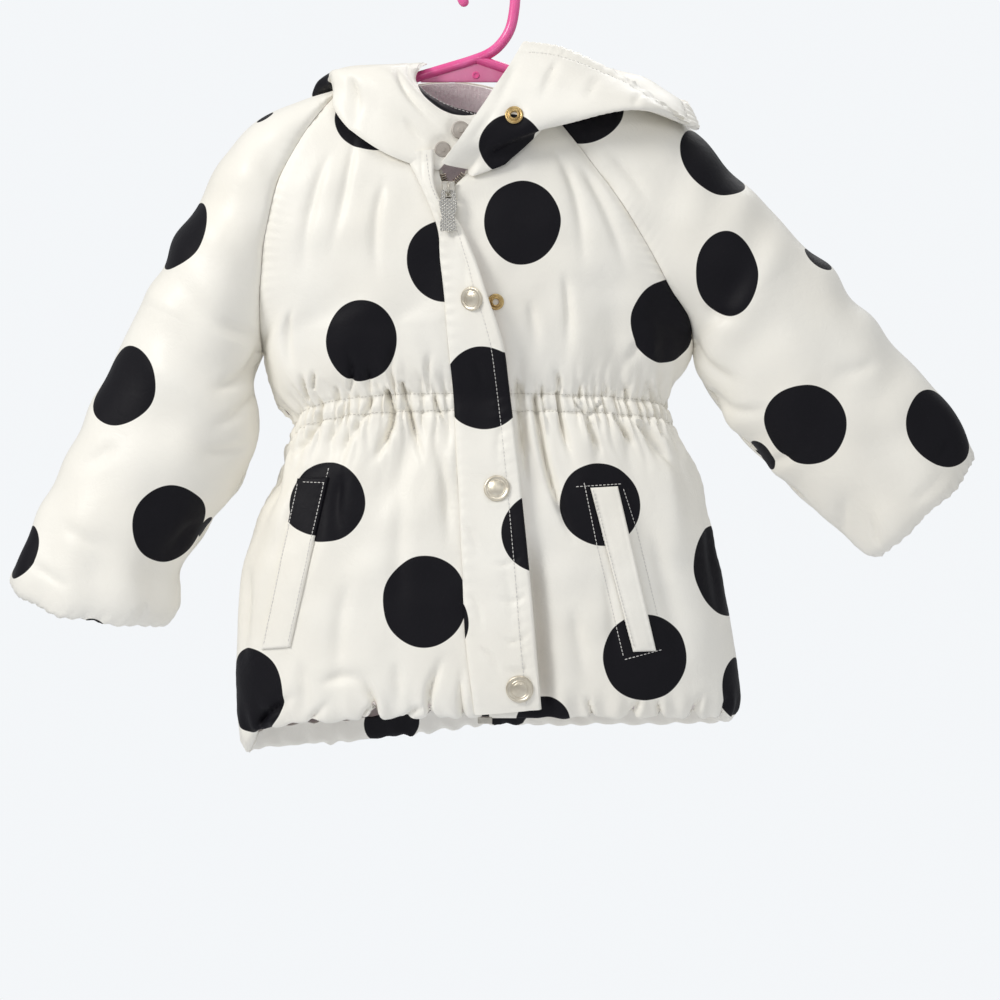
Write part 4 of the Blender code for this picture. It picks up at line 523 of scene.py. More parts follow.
def along(points, places):
    """Catmull-Rom curve through rows of points, read at places counted in rows from 0: a cubic in the
    fraction between two rows, with half the step between their neighbours as tangents."""
    points = np.asarray(points, float)
    places = np.asarray(places, float)
    shape = points.shape[1:]
    points = points.reshape(len(points), -1)
    last = len(points) - 1
    k = np.clip(np.floor(places).astype(int), 0, last - 1)
    f = (places - k)[:, None]
    before, start = points[np.clip(k - 1, 0, last)], points[k]
    end, after = points[k + 1], points[np.clip(k + 2, 0, last)]
    read = 0.5 * (2 * start + (end - before) * f + (2 * before - 5 * start + 4 * end - after) * f ** 2
                  + (3 * start - before - 3 * end + after) * f ** 3)
    return read.reshape((len(places),) + shape)


def lengths(grid, axis):
    """Distance from the first point of each row or column, counted along it."""
    steps = np.linalg.norm(np.diff(grid, axis=axis), axis=-1)
    first = np.zeros_like(np.take(steps, [0], axis=axis))
    return np.concatenate([first, np.cumsum(steps, axis=axis)], axis=axis)


def even_steps(fine, count):
    """Each row of a fine grid read at count even steps of its length."""
    run = lengths(fine, 1)
    share = np.linspace(0, 1, count)
    read = [[np.interp(share * r[-1], r, row[:, k]) for k in range(3)] for r, row in zip(run, fine)]
    return np.array(read).transpose(0, 2, 1)


def finer(grid, rows, columns):
    """A coarse grid read at more rows and columns along Catmull-Rom curves."""
    tall = along(grid, np.linspace(0, len(grid) - 1, rows))
    wide = along(tall.transpose(1, 0, 2), np.linspace(0, grid.shape[1] - 1, columns))
    return wide.transpose(1, 0, 2)


def normals(grid):
    """Unit cross product of a grid's steps across and up."""
    return unit(np.cross(np.gradient(grid, axis=1), np.gradient(grid, axis=0)))


def even_places(first, last, step):
    """Section places whose rows lie an even step apart along the seams, on average."""
    dense = np.linspace(first, last, 500)
    lines = seam_lines(dense)
    run = np.mean([lengths(lines[name][None], 1)[0] for name in lines], axis=0)
    return np.interp(np.linspace(0, run[-1], int(run[-1] / step) + 1), run, dense)


# ---------------------------------------------------------------- the body's sections

BODY_NUMBERS = np.array([row[1:] for row in BODY], float)
SLEEVES = {"right": (SLEEVE_RIGHT_TOP, SLEEVE_RIGHT_LOW), "left": (SLEEVE_LEFT_TOP, SLEEVE_LEFT_LOW)}


def zip_x(z):
    """The zip's middle line in the front view: a straight line from its box to its slider."""
    share = (z - ZIP_BOTTOM[1]) / (ZIP_TOP[1] - ZIP_BOTTOM[1])
    return ZIP_BOTTOM[0] + share * (ZIP_TOP[0] - ZIP_BOTTOM[0])


def quarter(side, middle, places, fine=97):
    """Section from a side point to the middle: a superellipse arc that starts at the side's depth.
    Its height goes over to the middle's as 1 - (1 - t) to the power of the levelling."""
    levelling = (2.2 - 1.05 * ease(ARMPIT, ARMPIT + 6, places))[:, None]
    sx, sy, sz = side.T[:, :, None]
    mx, my, mz = middle.T[:, :, None]
    start = np.arcsin(np.minimum(0.999, (np.abs(sy) / np.abs(my)) ** (1 / SQUARENESS)))
    t = np.linspace(0, 1, fine)[None, :]
    angle = start + (math.pi / 2 - start) * t
    reach = (mx - sx) / np.cos(start) ** SQUARENESS
    x = mx - reach * np.clip(np.cos(angle), 0, 1) ** SQUARENESS
    y = my * np.sin(angle) ** SQUARENESS
    z = sz + (mz - sz) * (1 - (1 - t) ** levelling)
    return np.stack([x, y, z], axis=-1)


def seam_lines(places):
    """Side and raglan seams, front and back, and the two middle lines, at the given sections."""
    rx, rz, rf, rb, lx, lz, lf, lb, mz, md, bx, bz, bd = along(BODY_NUMBERS, places).T
    inward = np.interp(places, np.arange(ARMPIT, ARMPIT + 8), BACK_SEAM_IN, left=0)
    rf, rb, lf, lb = (np.where(places <= ARMPIT, 0, np.maximum(v, 0)) for v in (rf, rb, lf, lb))
    opened = ease(ZIP_TOP[1] + 4, -146, mz)
    right_edge = zip_x(mz) - ZIP_HALF_GAP
    right_edge = right_edge + (ZIP_OPEN_RIGHT - right_edge) * opened
    left_edge = zip_x(mz) + ZIP_HALF_GAP
    left_edge = left_edge + (ZIP_OPEN_LEFT - left_edge) * opened
    return {
        "front_right": np.stack([rx, -rf, rz], axis=1),
        "front_left": np.stack([lx, -lf, lz], axis=1),
        "back_right": np.stack([rx + inward, rb, rz], axis=1),
        "back_left": np.stack([lx - inward * 0.6, lb, lz], axis=1),
        "zip_right": np.stack([right_edge, -md, mz], axis=1),
        "zip_left": np.stack([left_edge, -md, mz], axis=1),
        "middle_back": np.stack([bx, bd, bz], axis=1),
    }


def body_grids(places, front_columns, back_columns):
    """Smooth outer surfaces of the two fronts and the back, rows from the hem to the neck."""
    lines = seam_lines(places)
    right = even_steps(quarter(lines["front_right"], lines["zip_right"], places), front_columns)
    left = even_steps(quarter(lines["front_left"], lines["zip_left"], places), front_columns)
    half_right = quarter(lines["back_right"], lines["middle_back"], places)
    half_left = quarter(lines["back_left"], lines["middle_back"], places)
    back = even_steps(np.concatenate([half_left, half_right[:, -2::-1]], axis=1), back_columns)
    return right, left[:, ::-1], back


def sleeve_grid(side, places, columns, step):
    """Smooth outer surface of a sleeve: rows from the neck to the cuff, columns from its front seam
    over the outer edge to its back seam. Depth follows a half ellipse between seam and outer edge."""
    lines = seam_lines(places[::-1])
    top, low = SLEEVES[side]
    crown = along([row[1:] for row in top], places[::-1] - ARMPIT)
    armpit = lines["front_" + side][-1]
    rest = np.array([(armpit[0], armpit[2], *top[0][1:], 0)] + [row[1:] for row in low], float)
    run = lengths(rest[None, :, [0, 1, 2]] * np.array([0.5, 1.0, 0.5]), 1)[0]
    wanted = np.linspace(0, run[-1], int(run[-1] / step) + 1)[1:]
    rest = along(rest, np.interp(wanted, run, np.arange(len(rest))))
    flat = np.stack([rest[:, 0], np.zeros(len(rest)), rest[:, 1]], axis=1)
    outer = np.concatenate([crown[:, :2], rest[:, 2:4]])
    depth = np.concatenate([crown[:, 2], rest[:, 4]])[:, None]
    sag = np.concatenate([np.zeros(len(crown)), rest[:, 5]])[:, None]
    halves = []
    for name, sign, share_of_sag in (("front_" + side, -1.0, 1.0), ("back_" + side, 1.0, 0.4)):
        seam = np.concatenate([lines[name], flat])
        start = np.arcsin(np.minimum(0.98, np.abs(seam[:, 1:2]) / depth))
        angle = start + (math.pi - start) * np.linspace(0, 1, 73)[None, :]
        share = (np.cos(start) - np.cos(angle)) / (np.cos(start) + 1)
        x = seam[:, 0:1] + (outer[:, 0:1] - seam[:, 0:1]) * share
        z = seam[:, 2:3] + (outer[:, 1:2] - seam[:, 2:3]) * share - np.sin(angle) * sag * share_of_sag
        halves.append(np.stack([x, sign * depth * np.sin(angle), z], axis=-1))
    return even_steps(np.concatenate([halves[0], halves[1][:, -2::-1]], axis=1), columns)


def flap_edges(z):
    """x of the flap's sewn edge and of its open edge at heights z."""
    table = np.array([row[1:] for row in FLAP], float)
    return np.interp(-z, -table[:, 1], table[:, 0]), np.interp(-z, -table[:, 3], table[:, 2])


def facing_out(grid, is_tube):
    """Normals of a panel, turned to point away from the middle of its tube or from the coat's axis."""
    n = normals(grid)
    middle = grid.mean(axis=1, keepdims=True) if is_tube else grid * np.array([0.0, 0.0, 1.0])
    return n * np.sign(np.sum(n * (grid - middle)))


# ---------------------------------------------------------------- reading a place on a panel

def read(grid, r, c):
    """Grid value at fractional rows and columns, a straight mix of the four around it."""
    rows, columns = grid.shape[:2]
    r = np.clip(r, 0, rows - 1.0001)
    c = np.clip(c, 0, columns - 1.0001)
    i, j = r.astype(int), c.astype(int)
    u, v = (r - i)[..., None], (c - j)[..., None]
    return ((grid[i, j] * (1 - v) + grid[i, j + 1] * v) * (1 - u)
            + (grid[i + 1, j] * (1 - v) + grid[i + 1, j + 1] * v) * u)


def find_in_front(grid, x, z):
    """Fractional row and column of the places seen at x and z from the front: the nearest grid
    point, then Newton steps."""
    x, z = np.atleast_1d(np.asarray(x, float)), np.atleast_1d(np.asarray(z, float))
    n = normals(grid)
    n = n * np.sign(np.sum(n * (grid - grid.mean(axis=1, keepdims=True))))
    away = np.where(n[..., 1] < 0.05, 0.0, 1e6)
    r, c = np.empty(x.shape), np.empty(x.shape)
    for k, (a, b) in enumerate(zip(x, z)):
        near = (grid[..., 0] - a) ** 2 + (grid[..., 2] - b) ** 2 + away
        r[k], c[k] = np.unravel_index(near.argmin(), near.shape)
    h = 0.5
    top, side = grid.shape[0] - 1, grid.shape[1] - 1
    for _ in range(5):
        p = read(grid, r, c)
        up = (read(grid, r + h, c) - read(grid, r - h, c)) / (2 * h)
        across = (read(grid, r, c + h) - read(grid, r, c - h)) / (2 * h)
        det = across[:, 0] * up[:, 2] - up[:, 0] * across[:, 2]
        det = np.where(np.abs(det) < 1e-4, 1e-4, det)
        ex, ez = x - p[:, 0], z - p[:, 2]
        c = np.clip(c + np.clip((ex * up[:, 2] - up[:, 0] * ez) / det, -2, 2), 0, side)
        r = np.clip(r + np.clip((across[:, 0] * ez - across[:, 2] * ex) / det, -2, 2), 0, top)
    return r, c


# ---------------------------------------------------------------- folds

def trough(q):
    """A soft trough 1 deep, steeper on one side, with low banks: minus (1 - 0.9 q squared) times exp
    of minus q squared, where q is first drawn to one side by its own sine."""
    q = q + 0.35 * np.sin(1.6 * q) * np.exp(-0.4 * q ** 2)
    return -(1 - 0.9 * q ** 2) * np.exp(-q ** 2)


def creases(table, x, z):
    """Sum of troughs along bent lines in the front view. Each line is a quadratic curve through its
    three points, cut into ten pieces. Its depth fades from its head (1 starts full) to its tail."""
    height = np.zeros(x.shape)
    for x0, z0, x1, z1, x2, z2, width, depth, head in table:
        t = np.linspace(0, 1, 11)[:, None]
        a, b, c = np.array([x0, z0]), np.array([x1, z1]), np.array([x2, z2])
        middle = 2 * b - (a + c) / 2
        line = a * (1 - t) ** 2 + 2 * middle * t * (1 - t) + c * t ** 2
        low, high = line.min(axis=0) - 4 * width, line.max(axis=0) + 4 * width
        near = (x > low[0]) & (x < high[0]) & (z > low[1]) & (z < high[1])
        if not near.any():
            continue
        px, pz = x[near], z[near]
        best = np.full(px.shape, 1e9)
        where = np.zeros(px.shape)
        for k in range(10):
            d = line[k + 1] - line[k]
            s = np.clip(((px - line[k, 0]) * d[0] + (pz - line[k, 1]) * d[1]) / (d @ d), 0, 1)
            gap = np.hypot(px - line[k, 0] - s * d[0], pz - line[k, 1] - s * d[1])
            closer = gap < best
            best = np.where(closer, gap, best)
            where = np.where(closer, (k + s) / 10, where)
        start = 1.0 if head else ease(0, 0.3, where)
        broad = width * (0.75 + 0.5 * where)
        height[near] += depth * trough(best / broad) * start * ease(1.0, 0.45, where)
    return height


def gathers(table, x, w, seed):
    """Gathers on both sides of a casing. x is the place along the casing at its middle, w the distance
    above it. A gather is a trough that widens and fades away from the casing."""
    height = np.zeros(x.shape)
    for place, depth, above, below in table:
        reach = np.where(w > 0, 1.7 * above, 2.0 * below)
        sway = 1.3 * np.sin(0.13 * w + place + seed) * ease(2, 20, np.abs(w))
        broad = 1.8 + 0.075 * np.abs(w)
        height += 1.25 * depth * trough((x - place - sway) / broad) * np.exp(-(w / reach) ** 2)
    return height


def casing(w):
    """Cross-section of the elastic's casing: a low swell between two pulled-in stitch rows."""
    rows = np.exp(-((w - 6.5) / 1.9) ** 2) + np.exp(-((w + 6.5) / 1.9) ** 2)
    return -1.7 * rows + 0.6 * np.exp(-(w / 4.5) ** 4) - 0.8 * np.exp(-(w / 15.0) ** 2)


def drapes(across, w, seed):
    """Long soft folds above and below a casing: two uneven sine waves of the distance across, a narrow
    one near the casing and a broad one further down, that lean a little with the height."""
    lean = across + 0.09 * w * np.sin(across / 37.0 + 2 * seed)
    narrow = np.sin(2 * math.pi * lean / 24.0 + 2.3 * np.sin(across / 29.0 + seed) + seed)
    broad = np.sin(2 * math.pi * lean / 47.0 + 1.8 * np.sin(across / 53.0 + seed) + 2 * seed)
    reach = np.where(w > 0, 34.0, 46.0)
    near = np.exp(-(np.maximum(np.abs(w) - 10, 0) / reach) ** 2) * ease(4, 13, np.abs(w))
    far = np.exp(-((w + 62) / 48.0) ** 2) + 0.75 * np.exp(-((w - 55) / 40.0) ** 2)
    patchy = 0.7 + 0.3 * np.sin(across / 19.0 + 3 * seed)
    return 1.25 * narrow * near * patchy + 1.9 * broad * far


def puckers(run, away, seed, length=7.5, depth=0.55, reach=9.0):
    """Small ripples across a sewn line, from uneven sine waves of the run, that die out away from
    it."""
    wave = np.sin(2 * math.pi * run / length + 1.8 * np.sin(run / 23.0 + seed) + seed)
    strength = 0.6 + 0.4 * np.sin(run / 31.0 + 2.1 * seed)
    return depth * wave * strength * np.exp(-(np.abs(away) / reach) ** 1.5)


def rumple(x, z, seed, height=0.7, size=46.0):
    """Slow uneven swell of soft cloth: five crossed sine waves with bent fronts."""
    total = np.zeros(np.shape(x))
    turns = ((0.3, 1.0), (1.4, 0.8), (2.2, 1.35), (2.9, 0.62), (0.9, 1.7))
    for k, (turn, pitch) in enumerate(turns):
        a = (x * math.cos(turn + seed) + z * math.sin(turn + seed)) / (size * pitch)
        b = (z * math.cos(turn + seed) - x * math.sin(turn + seed)) / (size * 1.7)
        bent = 2 * math.pi * a + 1.3 * np.sin(2 * math.pi * b + k)
        total += np.sin(bent + seed * (k + 1)) / (1 + 0.4 * k)
    return height * total / 2.2


# ---------------------------------------------------------------- walls

def ring_angles(sides):
    return np.linspace(0, 2 * math.pi, sides, endpoint=False)


def ring_faces(rings, sides, joined=False):
    """Four-cornered faces between rings of points, closed round each ring. Where joined, the last
    ring runs on into the first."""
    i = np.arange(rings if joined else rings - 1)[:, None]
    k = np.arange(sides)[None, :]
    after, above = (k + 1) % sides, (i + 1) % rings
    corners = (i * sides + k, i * sides + after, above * sides + after, above * sides + k)
    return np.stack(np.broadcast_arrays(*corners), axis=-1).reshape(-1, 4)


def halved(quads):
    """The two triangles of each four-cornered face."""
    return np.concatenate([quads[:, [0, 1, 2]], quads[:, [0, 2, 3]]])


def outward(points, faces):
    """Triangles of a closed mesh, all turned round where its signed volume is negative."""
    a, b, c = (points[faces[:, q]] - points.mean(axis=0) for q in range(3))
    return faces[:, ::-1] if np.sum(np.cross(b, c) * a) < 0 else faces


def wall(name, outer, inner, materials, uv):
    """Closed wall between an outer and an inner grid of one size. Its rows are carried along the
    columns, and its two ends are capped. Slot 0 is the outside and the rim, slot 1 the inside."""
    rows, columns = outer.shape[:2]
    around = 2 * columns
    points = (np.concatenate([outer, inner[:, ::-1]], axis=1) * MM).reshape(-1, 3)
    flat = np.concatenate([uv, uv[:, ::-1]], axis=1) * MM
    sides = ring_faces(rows, around)
    column = np.arange(len(sides)) % around
    is_inside = (column >= columns) & (column < around - 1)
    k = np.arange(columns - 1)
    far = around - 1 - k
    first = np.stack([k, far, far - 1, k + 1], axis=-1)
    last = np.stack([k, k + 1, far - 1, far], axis=-1) + (rows - 1) * around
    faces = np.concatenate([sides, first, last])
    slots = np.concatenate([is_inside.astype(int), np.zeros(2 * (columns - 1), int)])
    a, b, d = (points[sides[:, q]] for q in (0, 1, 3))
    outside = (outer[:-1, :1] - inner[:-1, :1]).repeat(around, 1).reshape(-1, 3)
    facing = np.sum(np.cross(b - a, d - a) * outside, axis=1)
    if facing[column < columns - 1].sum() < 0:
        faces = faces[:, ::-1]
    return mesh_object(name, points, faces, materials, 50.0, slots, flat.reshape(-1, 2))


def mesh_object(name, points, faces, materials, smooth_angle, slots=None, uv=None):
    """Mesh from whole arrays: points in metres, four-cornered or three-cornered faces, one material
    slot a face and one flat place a point. Edges sharper than the angle stay sharp."""
    mesh = bpy.data.meshes.new(name)
    corners = faces.shape[1]
    mesh.vertices.add(len(points))
    mesh.vertices.foreach_set("co", np.ascontiguousarray(points, dtype=np.float32).ravel())
    mesh.loops.add(faces.size)
    mesh.loops.foreach_set("vertex_index", np.ascontiguousarray(faces, dtype=np.int32).ravel())
    mesh.polygons.add(len(faces))
    mesh.polygons.foreach_set("loop_start", np.arange(0, faces.size, corners, dtype=np.int32))
    if uv is not None:
        layer = mesh.uv_layers.new(name="cloth")
        layer.data.foreach_set("uv", np.ascontiguousarray(uv[faces.ravel()], dtype=np.float32).ravel())
    for material in materials:
        mesh.materials.append(material)
    if slots is not None:
        mesh.polygons.foreach_set("material_index", np.ascontiguousarray(slots, dtype=np.int32))
    mesh.update()
    mesh.validate()
    mesh.shade_smooth()
    mesh.set_sharp_from_angle(angle=math.radians(smooth_angle))
    made = bpy.data.objects.new(name, mesh)
    bpy.context.scene.collection.objects.link(made)
    return made


def beads(name, centres, lie, up, size, material, sides):
    """Many small rounded beads at once. Each is a circle of the given half sizes (length, width,
    height) swept from tip to tip: radius times the sine to the power of 0.7, length times the cosine
    of the sweep. Each bead's length lies along its own direction."""
    centres, lie, up = (np.asarray(v, float) for v in (centres, lie, up))
    lie = unit(lie)
    across = unit(np.cross(up, lie))
    up = np.cross(lie, across)
    sweep = np.array([0.35, 0.9, math.pi / 2, math.pi - 0.9, math.pi - 0.35])[:, None]
    turn, radius = ring_angles(sides), np.sin(sweep) ** 0.7
    ring = np.broadcast_arrays(-np.cos(sweep), radius * np.cos(turn), radius * np.sin(turn))
    ring = np.stack(ring, axis=-1).reshape(-1, 3)
    shape = np.concatenate([[[-1.0, 0, 0]], ring, [[1.0, 0, 0]]]) * np.asarray(size, float)
    points = (centres[:, None] + shape[None, :, 0:1] * lie[:, None] + shape[None, :, 1:2] * across[:, None]
              + shape[None, :, 2:3] * up[:, None])
    k = np.arange(sides)
    after, last = (k + 1) % sides, 1 + (len(sweep) - 1) * sides
    first_tip = np.stack([np.zeros(sides, int), 1 + after, 1 + k], 1)
    last_tip = np.stack([last + k, last + after, np.full(sides, last + sides)], 1)
    step = (np.arange(len(centres)) * len(shape))[:, None, None]
    quads = (1 + ring_faces(len(sweep), sides) + step).reshape(-1, 4)
    tips = (np.concatenate([first_tip, last_tip]) + step).reshape(-1, 3)
    faces = np.concatenate([halved(quads), tips])
    return mesh_object(name, points.reshape(-1, 3) * MM, faces, [material], 80.0)


def read_evenly(points, pitch, rounding, *others):
    """Rows of points read at even steps of about the pitch along their line, and others with them."""
    run = lengths(points[None], 1)[0]
    count = max(2, int(rounding(run[-1] / pitch)))
    wanted = (np.arange(count) + 0.5) * run[-1] / count
    return [np.stack([np.interp(wanted, run, v[:, k]) for k in range(v.shape[1])], axis=1)
            for v in (points, *others)]


def even_line(points, pitch):
    """A polyline read at even steps of about the pitch."""
    return read_evenly(np.asarray(points, float), pitch, round)[0]


def capped_bar(name, ring, tips, material, smooth_angle):
    """Rings of points joined into one bar, each end closed by a fan round its tip."""
    n, sides = ring.shape[:2]
    k, last = np.arange(sides), (n - 1) * sides
    after = (k + 1) % sides
    start = np.stack([after, k, np.full(sides, n * sides)], 1)
    end = np.stack([last + k, last + after, np.full(sides, n * sides + 1)], 1)
    points = np.concatenate([ring.reshape(-1, 3), tips])
    faces = outward(points, np.concatenate([halved(ring_faces(n, sides)), start, end]))
    return mesh_object(name, points * MM, faces, [material], smooth_angle)


def tube(name, points, radius, material):
    """Round bar along a line of points, with domed ends: a circle carried square to the line."""
    ahead = unit(np.gradient(points, axis=0))
    side = unit(np.cross(ahead, np.array([0.0, 1.0, 0.0]) + 1e-6))
    lift = np.cross(ahead, side)
    dome = np.array([0.15, 0.5, 0.8])
    reach = np.sqrt(1 - dome ** 2)[:, None]
    line = np.concatenate([points[0] - ahead[0] * radius * reach, points,
                           points[-1] + ahead[-1] * radius * reach[::-1]])
    r = np.concatenate([dome, np.ones(len(points)), dome[::-1]])[:, None, None] * radius
    s, u = (np.concatenate([np.repeat(v[:1], 3, 0), v, np.repeat(v[-1:], 3, 0)])[:, None]
            for v in (side, lift))
    turn = ring_angles(24)[None, :, None]
    tips = np.stack([line[0] - ahead[0] * 0.02 * radius, line[-1] + ahead[-1] * 0.02 * radius])
    return capped_bar(name, line[:, None] + r * (np.cos(turn) * s + np.sin(turn) * u), tips, material, 60.0)


def turned(name, profile, centre, facing, material):
    """Solid of revolution: rows of radius and height carried round the facing axis. A profile that
    starts off the axis is joined into a loop."""
    profile, facing = np.asarray(profile, float), unit(np.asarray(facing, float))
    side = unit(np.cross(np.array([0.0, 0.0, 1.0]), facing))
    turn = ring_angles(72)[:, None]
    circle = np.cos(turn) * side + np.sin(turn) * np.cross(facing, side)
    points = np.asarray(centre, float) + profile[:, None, :1] * circle + profile[:, None, 1:] * facing
    points = points.reshape(-1, 3)
    faces = halved(ring_faces(len(profile), len(turn), joined=profile[0, 0] > 0.01))
    return mesh_object(name, points * MM, outward(points, faces), [material], 40.0)


# ---------------------------------------------------------------- materials

class Sheet:
    """Short hand for adding and joining nodes in one node tree."""

    def __init__(self, tree):
        self.tree = tree

    def feed(self, node, inputs):
        """Join sockets to a node's inputs, or set plain values, by name or number."""
        for key, value in inputs.items():
            if isinstance(value, bpy.types.NodeSocket):
                self.tree.links.new(value, node.inputs[key])
            else:
                node.inputs[key].default_value = value
        return node

    def add(self, kind, inputs=(), **settings):
        node = self.tree.nodes.new(kind)
        for key, value in settings.items():
            setattr(node, key, value)
        return self.feed(node, dict(inputs))

    def place(self, kind="Object"):
        return self.add("ShaderNodeTexCoord").outputs[kind]

    def math(self, operation, a, b=0.0, c=0.0):
        return self.add("ShaderNodeMath", {0: a, 1: b, 2: c}, operation=operation).outputs[0]

    def vector(self, operation, a, b=(0, 0, 0), out="Vector"):
        return self.add("ShaderNodeVectorMath", {0: a, 1: b}, operation=operation).outputs[out]

    def mapping(self, vector, rotation):
        return self.add("ShaderNodeMapping", {"Vector": vector, "Rotation": rotation}).outputs[0]

    def noise(self, vector, scale, detail=2.0, roughness=0.5, distortion=0.0):
        inputs = {"Vector": vector, "Scale": scale, "Detail": detail, "Roughness": roughness,
                  "Distortion": distortion}
        return self.add("ShaderNodeTexNoise", inputs).outputs["Fac"]

    def wave(self, vector, scale, inputs=(), direction="X"):
        inputs = {"Vector": vector, "Scale": scale, **dict(inputs)}
        return self.add("ShaderNodeTexWave", inputs, bands_direction=direction).outputs["Fac"]

    def spread(self, value, low, high, to_low=0.0, to_high=1.0, kind="LINEAR"):
        inputs = {"Value": value, "From Min": low, "From Max": high, "To Min": to_low, "To Max": to_high}
        return self.add("ShaderNodeMapRange", inputs, interpolation_type=kind).outputs["Result"]

    def blend(self, share, a, b):
        return self.add("ShaderNodeMix", {0: share, 6: a, 7: b}, data_type="RGBA").outputs[2]

    def bump(self, height, distance, strength):
        inputs = {"Height": height, "Distance": distance, "Strength": strength}
        return self.add("ShaderNodeBump", inputs).outputs[0]


def group(name, inputs, outputs):
    """Shader node group with named sockets: inputs are name, kind and default, outputs are names of
    numbers. Gives the group, its sheet, what comes in and the node that takes what goes out."""
    made = bpy.data.node_groups.new(name, "ShaderNodeTree")
    for label, kind, default in inputs:
        socket = made.interface.new_socket(name=label, in_out="INPUT", socket_type="NodeSocket" + kind)
        if default is not None:
            socket.default_value = default
    for label in outputs:
        made.interface.new_socket(name=label, in_out="OUTPUT", socket_type="NodeSocketFloat")
    given, out = made.nodes.new("NodeGroupInput"), made.nodes.new("NodeGroupOutput")
    return made, Sheet(made), given.outputs, out


def polka_dot_group():
    """Mask of one printed dot: 1 where the stretched distance to its centre is under its radius,
    with an edge 0.44 mm wide. The wobble moves the edge a little."""
    made, s, given, out = group("polka dot", (
        ("Position", "Vector", None), ("Centre", "Vector", (0, 0, 0)), ("Stretch", "Vector", (1, 1, 1)),
        ("Radius", "Float", 0.0285), ("Wobble", "Float", 0.0)), ("Mask",))
    away = s.vector("SUBTRACT", given["Position"], given["Centre"])
    away = s.vector("MULTIPLY", away, given["Stretch"])
    rim = s.math("SUBTRACT", s.vector("LENGTH", away, out="Value"), given["Radius"])
    rim = s.math("SUBTRACT", rim, given["Wobble"])
    s.feed(out, {"Mask": s.spread(rim, -0.00022, 0.00022, 1.0, 0.0, "SMOOTHSTEP")})
    return made


def satin_group():
    """Surface of the padded satin. Height: fine diagonal weave, small crackle of the pressed cloth
    and slow dents of the padding. Shade: slow change of tone. Gloss: change of roughness."""
    made, s, given, out = group("padded satin", (
        ("Cloth", "Vector", None), ("Position", "Vector", None), ("Crackle", "Float", 1.0)),
        ("Height", "Shade", "Gloss"))
    position = given["Position"]
    weave = s.wave(s.mapping(given["Cloth"], (0, 0, 0.6)), 520.0,
                   {"Distortion": 1.0, "Detail": 1.0, "Detail Scale": 2.0})
    dents = s.noise(position, 34.0, 2.0, 0.5, 0.4)
    lines = s.math("SUBTRACT", s.noise(position, 85.0, 2.5, 0.55, 1.6), 0.5)
    lines = s.spread(s.math("ABSOLUTE", lines), 0.0, 0.11, 0.0, 1.0, "SMOOTHSTEP")
    height = s.math("MULTIPLY", dents, 0.9)
    height = s.math("MULTIPLY_ADD", s.math("MULTIPLY", lines, given["Crackle"]), 0.05, height)
    s.feed(out, {
        "Height": s.math("MULTIPLY_ADD", weave, 0.02, height),
        "Shade": s.spread(s.noise(position, 9.0, 2.0), 0.3, 0.7),
        "Gloss": s.math("MULTIPLY_ADD", s.noise(position, 55.0, 3.0), 0.14, 0.33),
    })
    return made


def new_material(name):
    made = bpy.data.materials.new(name)
    made.use_nodes = True
    return made, Sheet(made.node_tree), made.node_tree.nodes["Principled BSDF"]


POLKA = polka_dot_group()
SATIN = satin_group()
CREAM = (0.900, 0.875, 0.805, 1)
CREAM_WARM = (0.880, 0.845, 0.760, 1)
INK = (0.0065, 0.006, 0.0085, 1)
CLOTH_BUMP = 0.0016     # metres of relief of satin and fleece, at half strength


def satin_surface(name):
    """New satin material with its bump joined, and the outputs of the padded satin's group."""
    made, s, shader = new_material(name)
    place = s.add("ShaderNodeTexCoord").outputs
    position = place["Object"]
    surface = s.add("ShaderNodeGroup", node_tree=SATIN)
    surface = s.feed(surface, {"Cloth": place["UV"], "Position": position}).outputs
    s.feed(shader, {"Normal": s.bump(surface["Height"], CLOTH_BUMP, 0.5)})
    return made, s, shader, surface, position


def satin(name, dots):
    """Cream satin with printed dots. Dots are rows of x, y, z of the centre, radius and a stretch of
    the distance along x, y and z. Colour, gloss and specular follow the printed mask."""
    made, s, shader, surface, position = satin_surface(name)
    wobble = s.math("MULTIPLY_ADD", s.noise(position, 26.0, 1.0), 0.004, -0.002)
    mask = 0.0
    for x, y, z, radius, *stretch in dots:
        inputs = {"Position": position, "Wobble": wobble, "Centre": (x * MM, y * MM, z * MM),
                  "Stretch": stretch, "Radius": radius * MM}
        dot = s.add("ShaderNodeGroup", node_tree=POLKA)
        mask = s.math("MAXIMUM", mask, s.feed(dot, inputs).outputs["Mask"])
    s.feed(shader, {
        "Base Color": s.blend(mask, s.blend(surface["Shade"], CREAM, CREAM_WARM), INK),
        "Roughness": s.math("MULTIPLY_ADD", mask, 0.12, surface["Gloss"]),
        "Specular IOR Level": s.math("MULTIPLY_ADD", mask, -0.17, 0.3),
    })
    return made


def lining_satin():
    """Pinkish-white lining: plain satin without print."""
    made, s, shader, surface, _ = satin_surface("lining satin")
    colour = s.blend(surface["Shade"], (0.86, 0.80, 0.785, 1), (0.83, 0.755, 0.75, 1))
    s.feed(shader, {"Base Color": colour, "Roughness": surface["Gloss"]})
    return made


def fleece():
    """Pinkish-grey fleece: clumped pile as a rough bump, and two tones that follow the clumps:
    lighter on them and darker between them, which is painted shade.
    """
    made, s, shader = new_material("fleece lining")
    place = s.place()
    clumps = s.noise(place, 420.0, 4.0, 0.65, 0.6)
    tufts = s.noise(place, 1500.0, 2.0, 0.6)
    # The tones follow the clumps: painted shade between them.
    colour = s.blend(s.spread(clumps, 0.35, 0.65), (0.84, 0.76, 0.765, 1), (0.91, 0.845, 0.845, 1))
    height = s.math("MULTIPLY_ADD", tufts, 0.4, clumps)
    s.feed(shader, {"Base Color": colour, "Normal": s.bump(height, CLOTH_BUMP, 0.5), "Roughness": 0.95,
                    "Sheen Weight": 0.8})
    return made


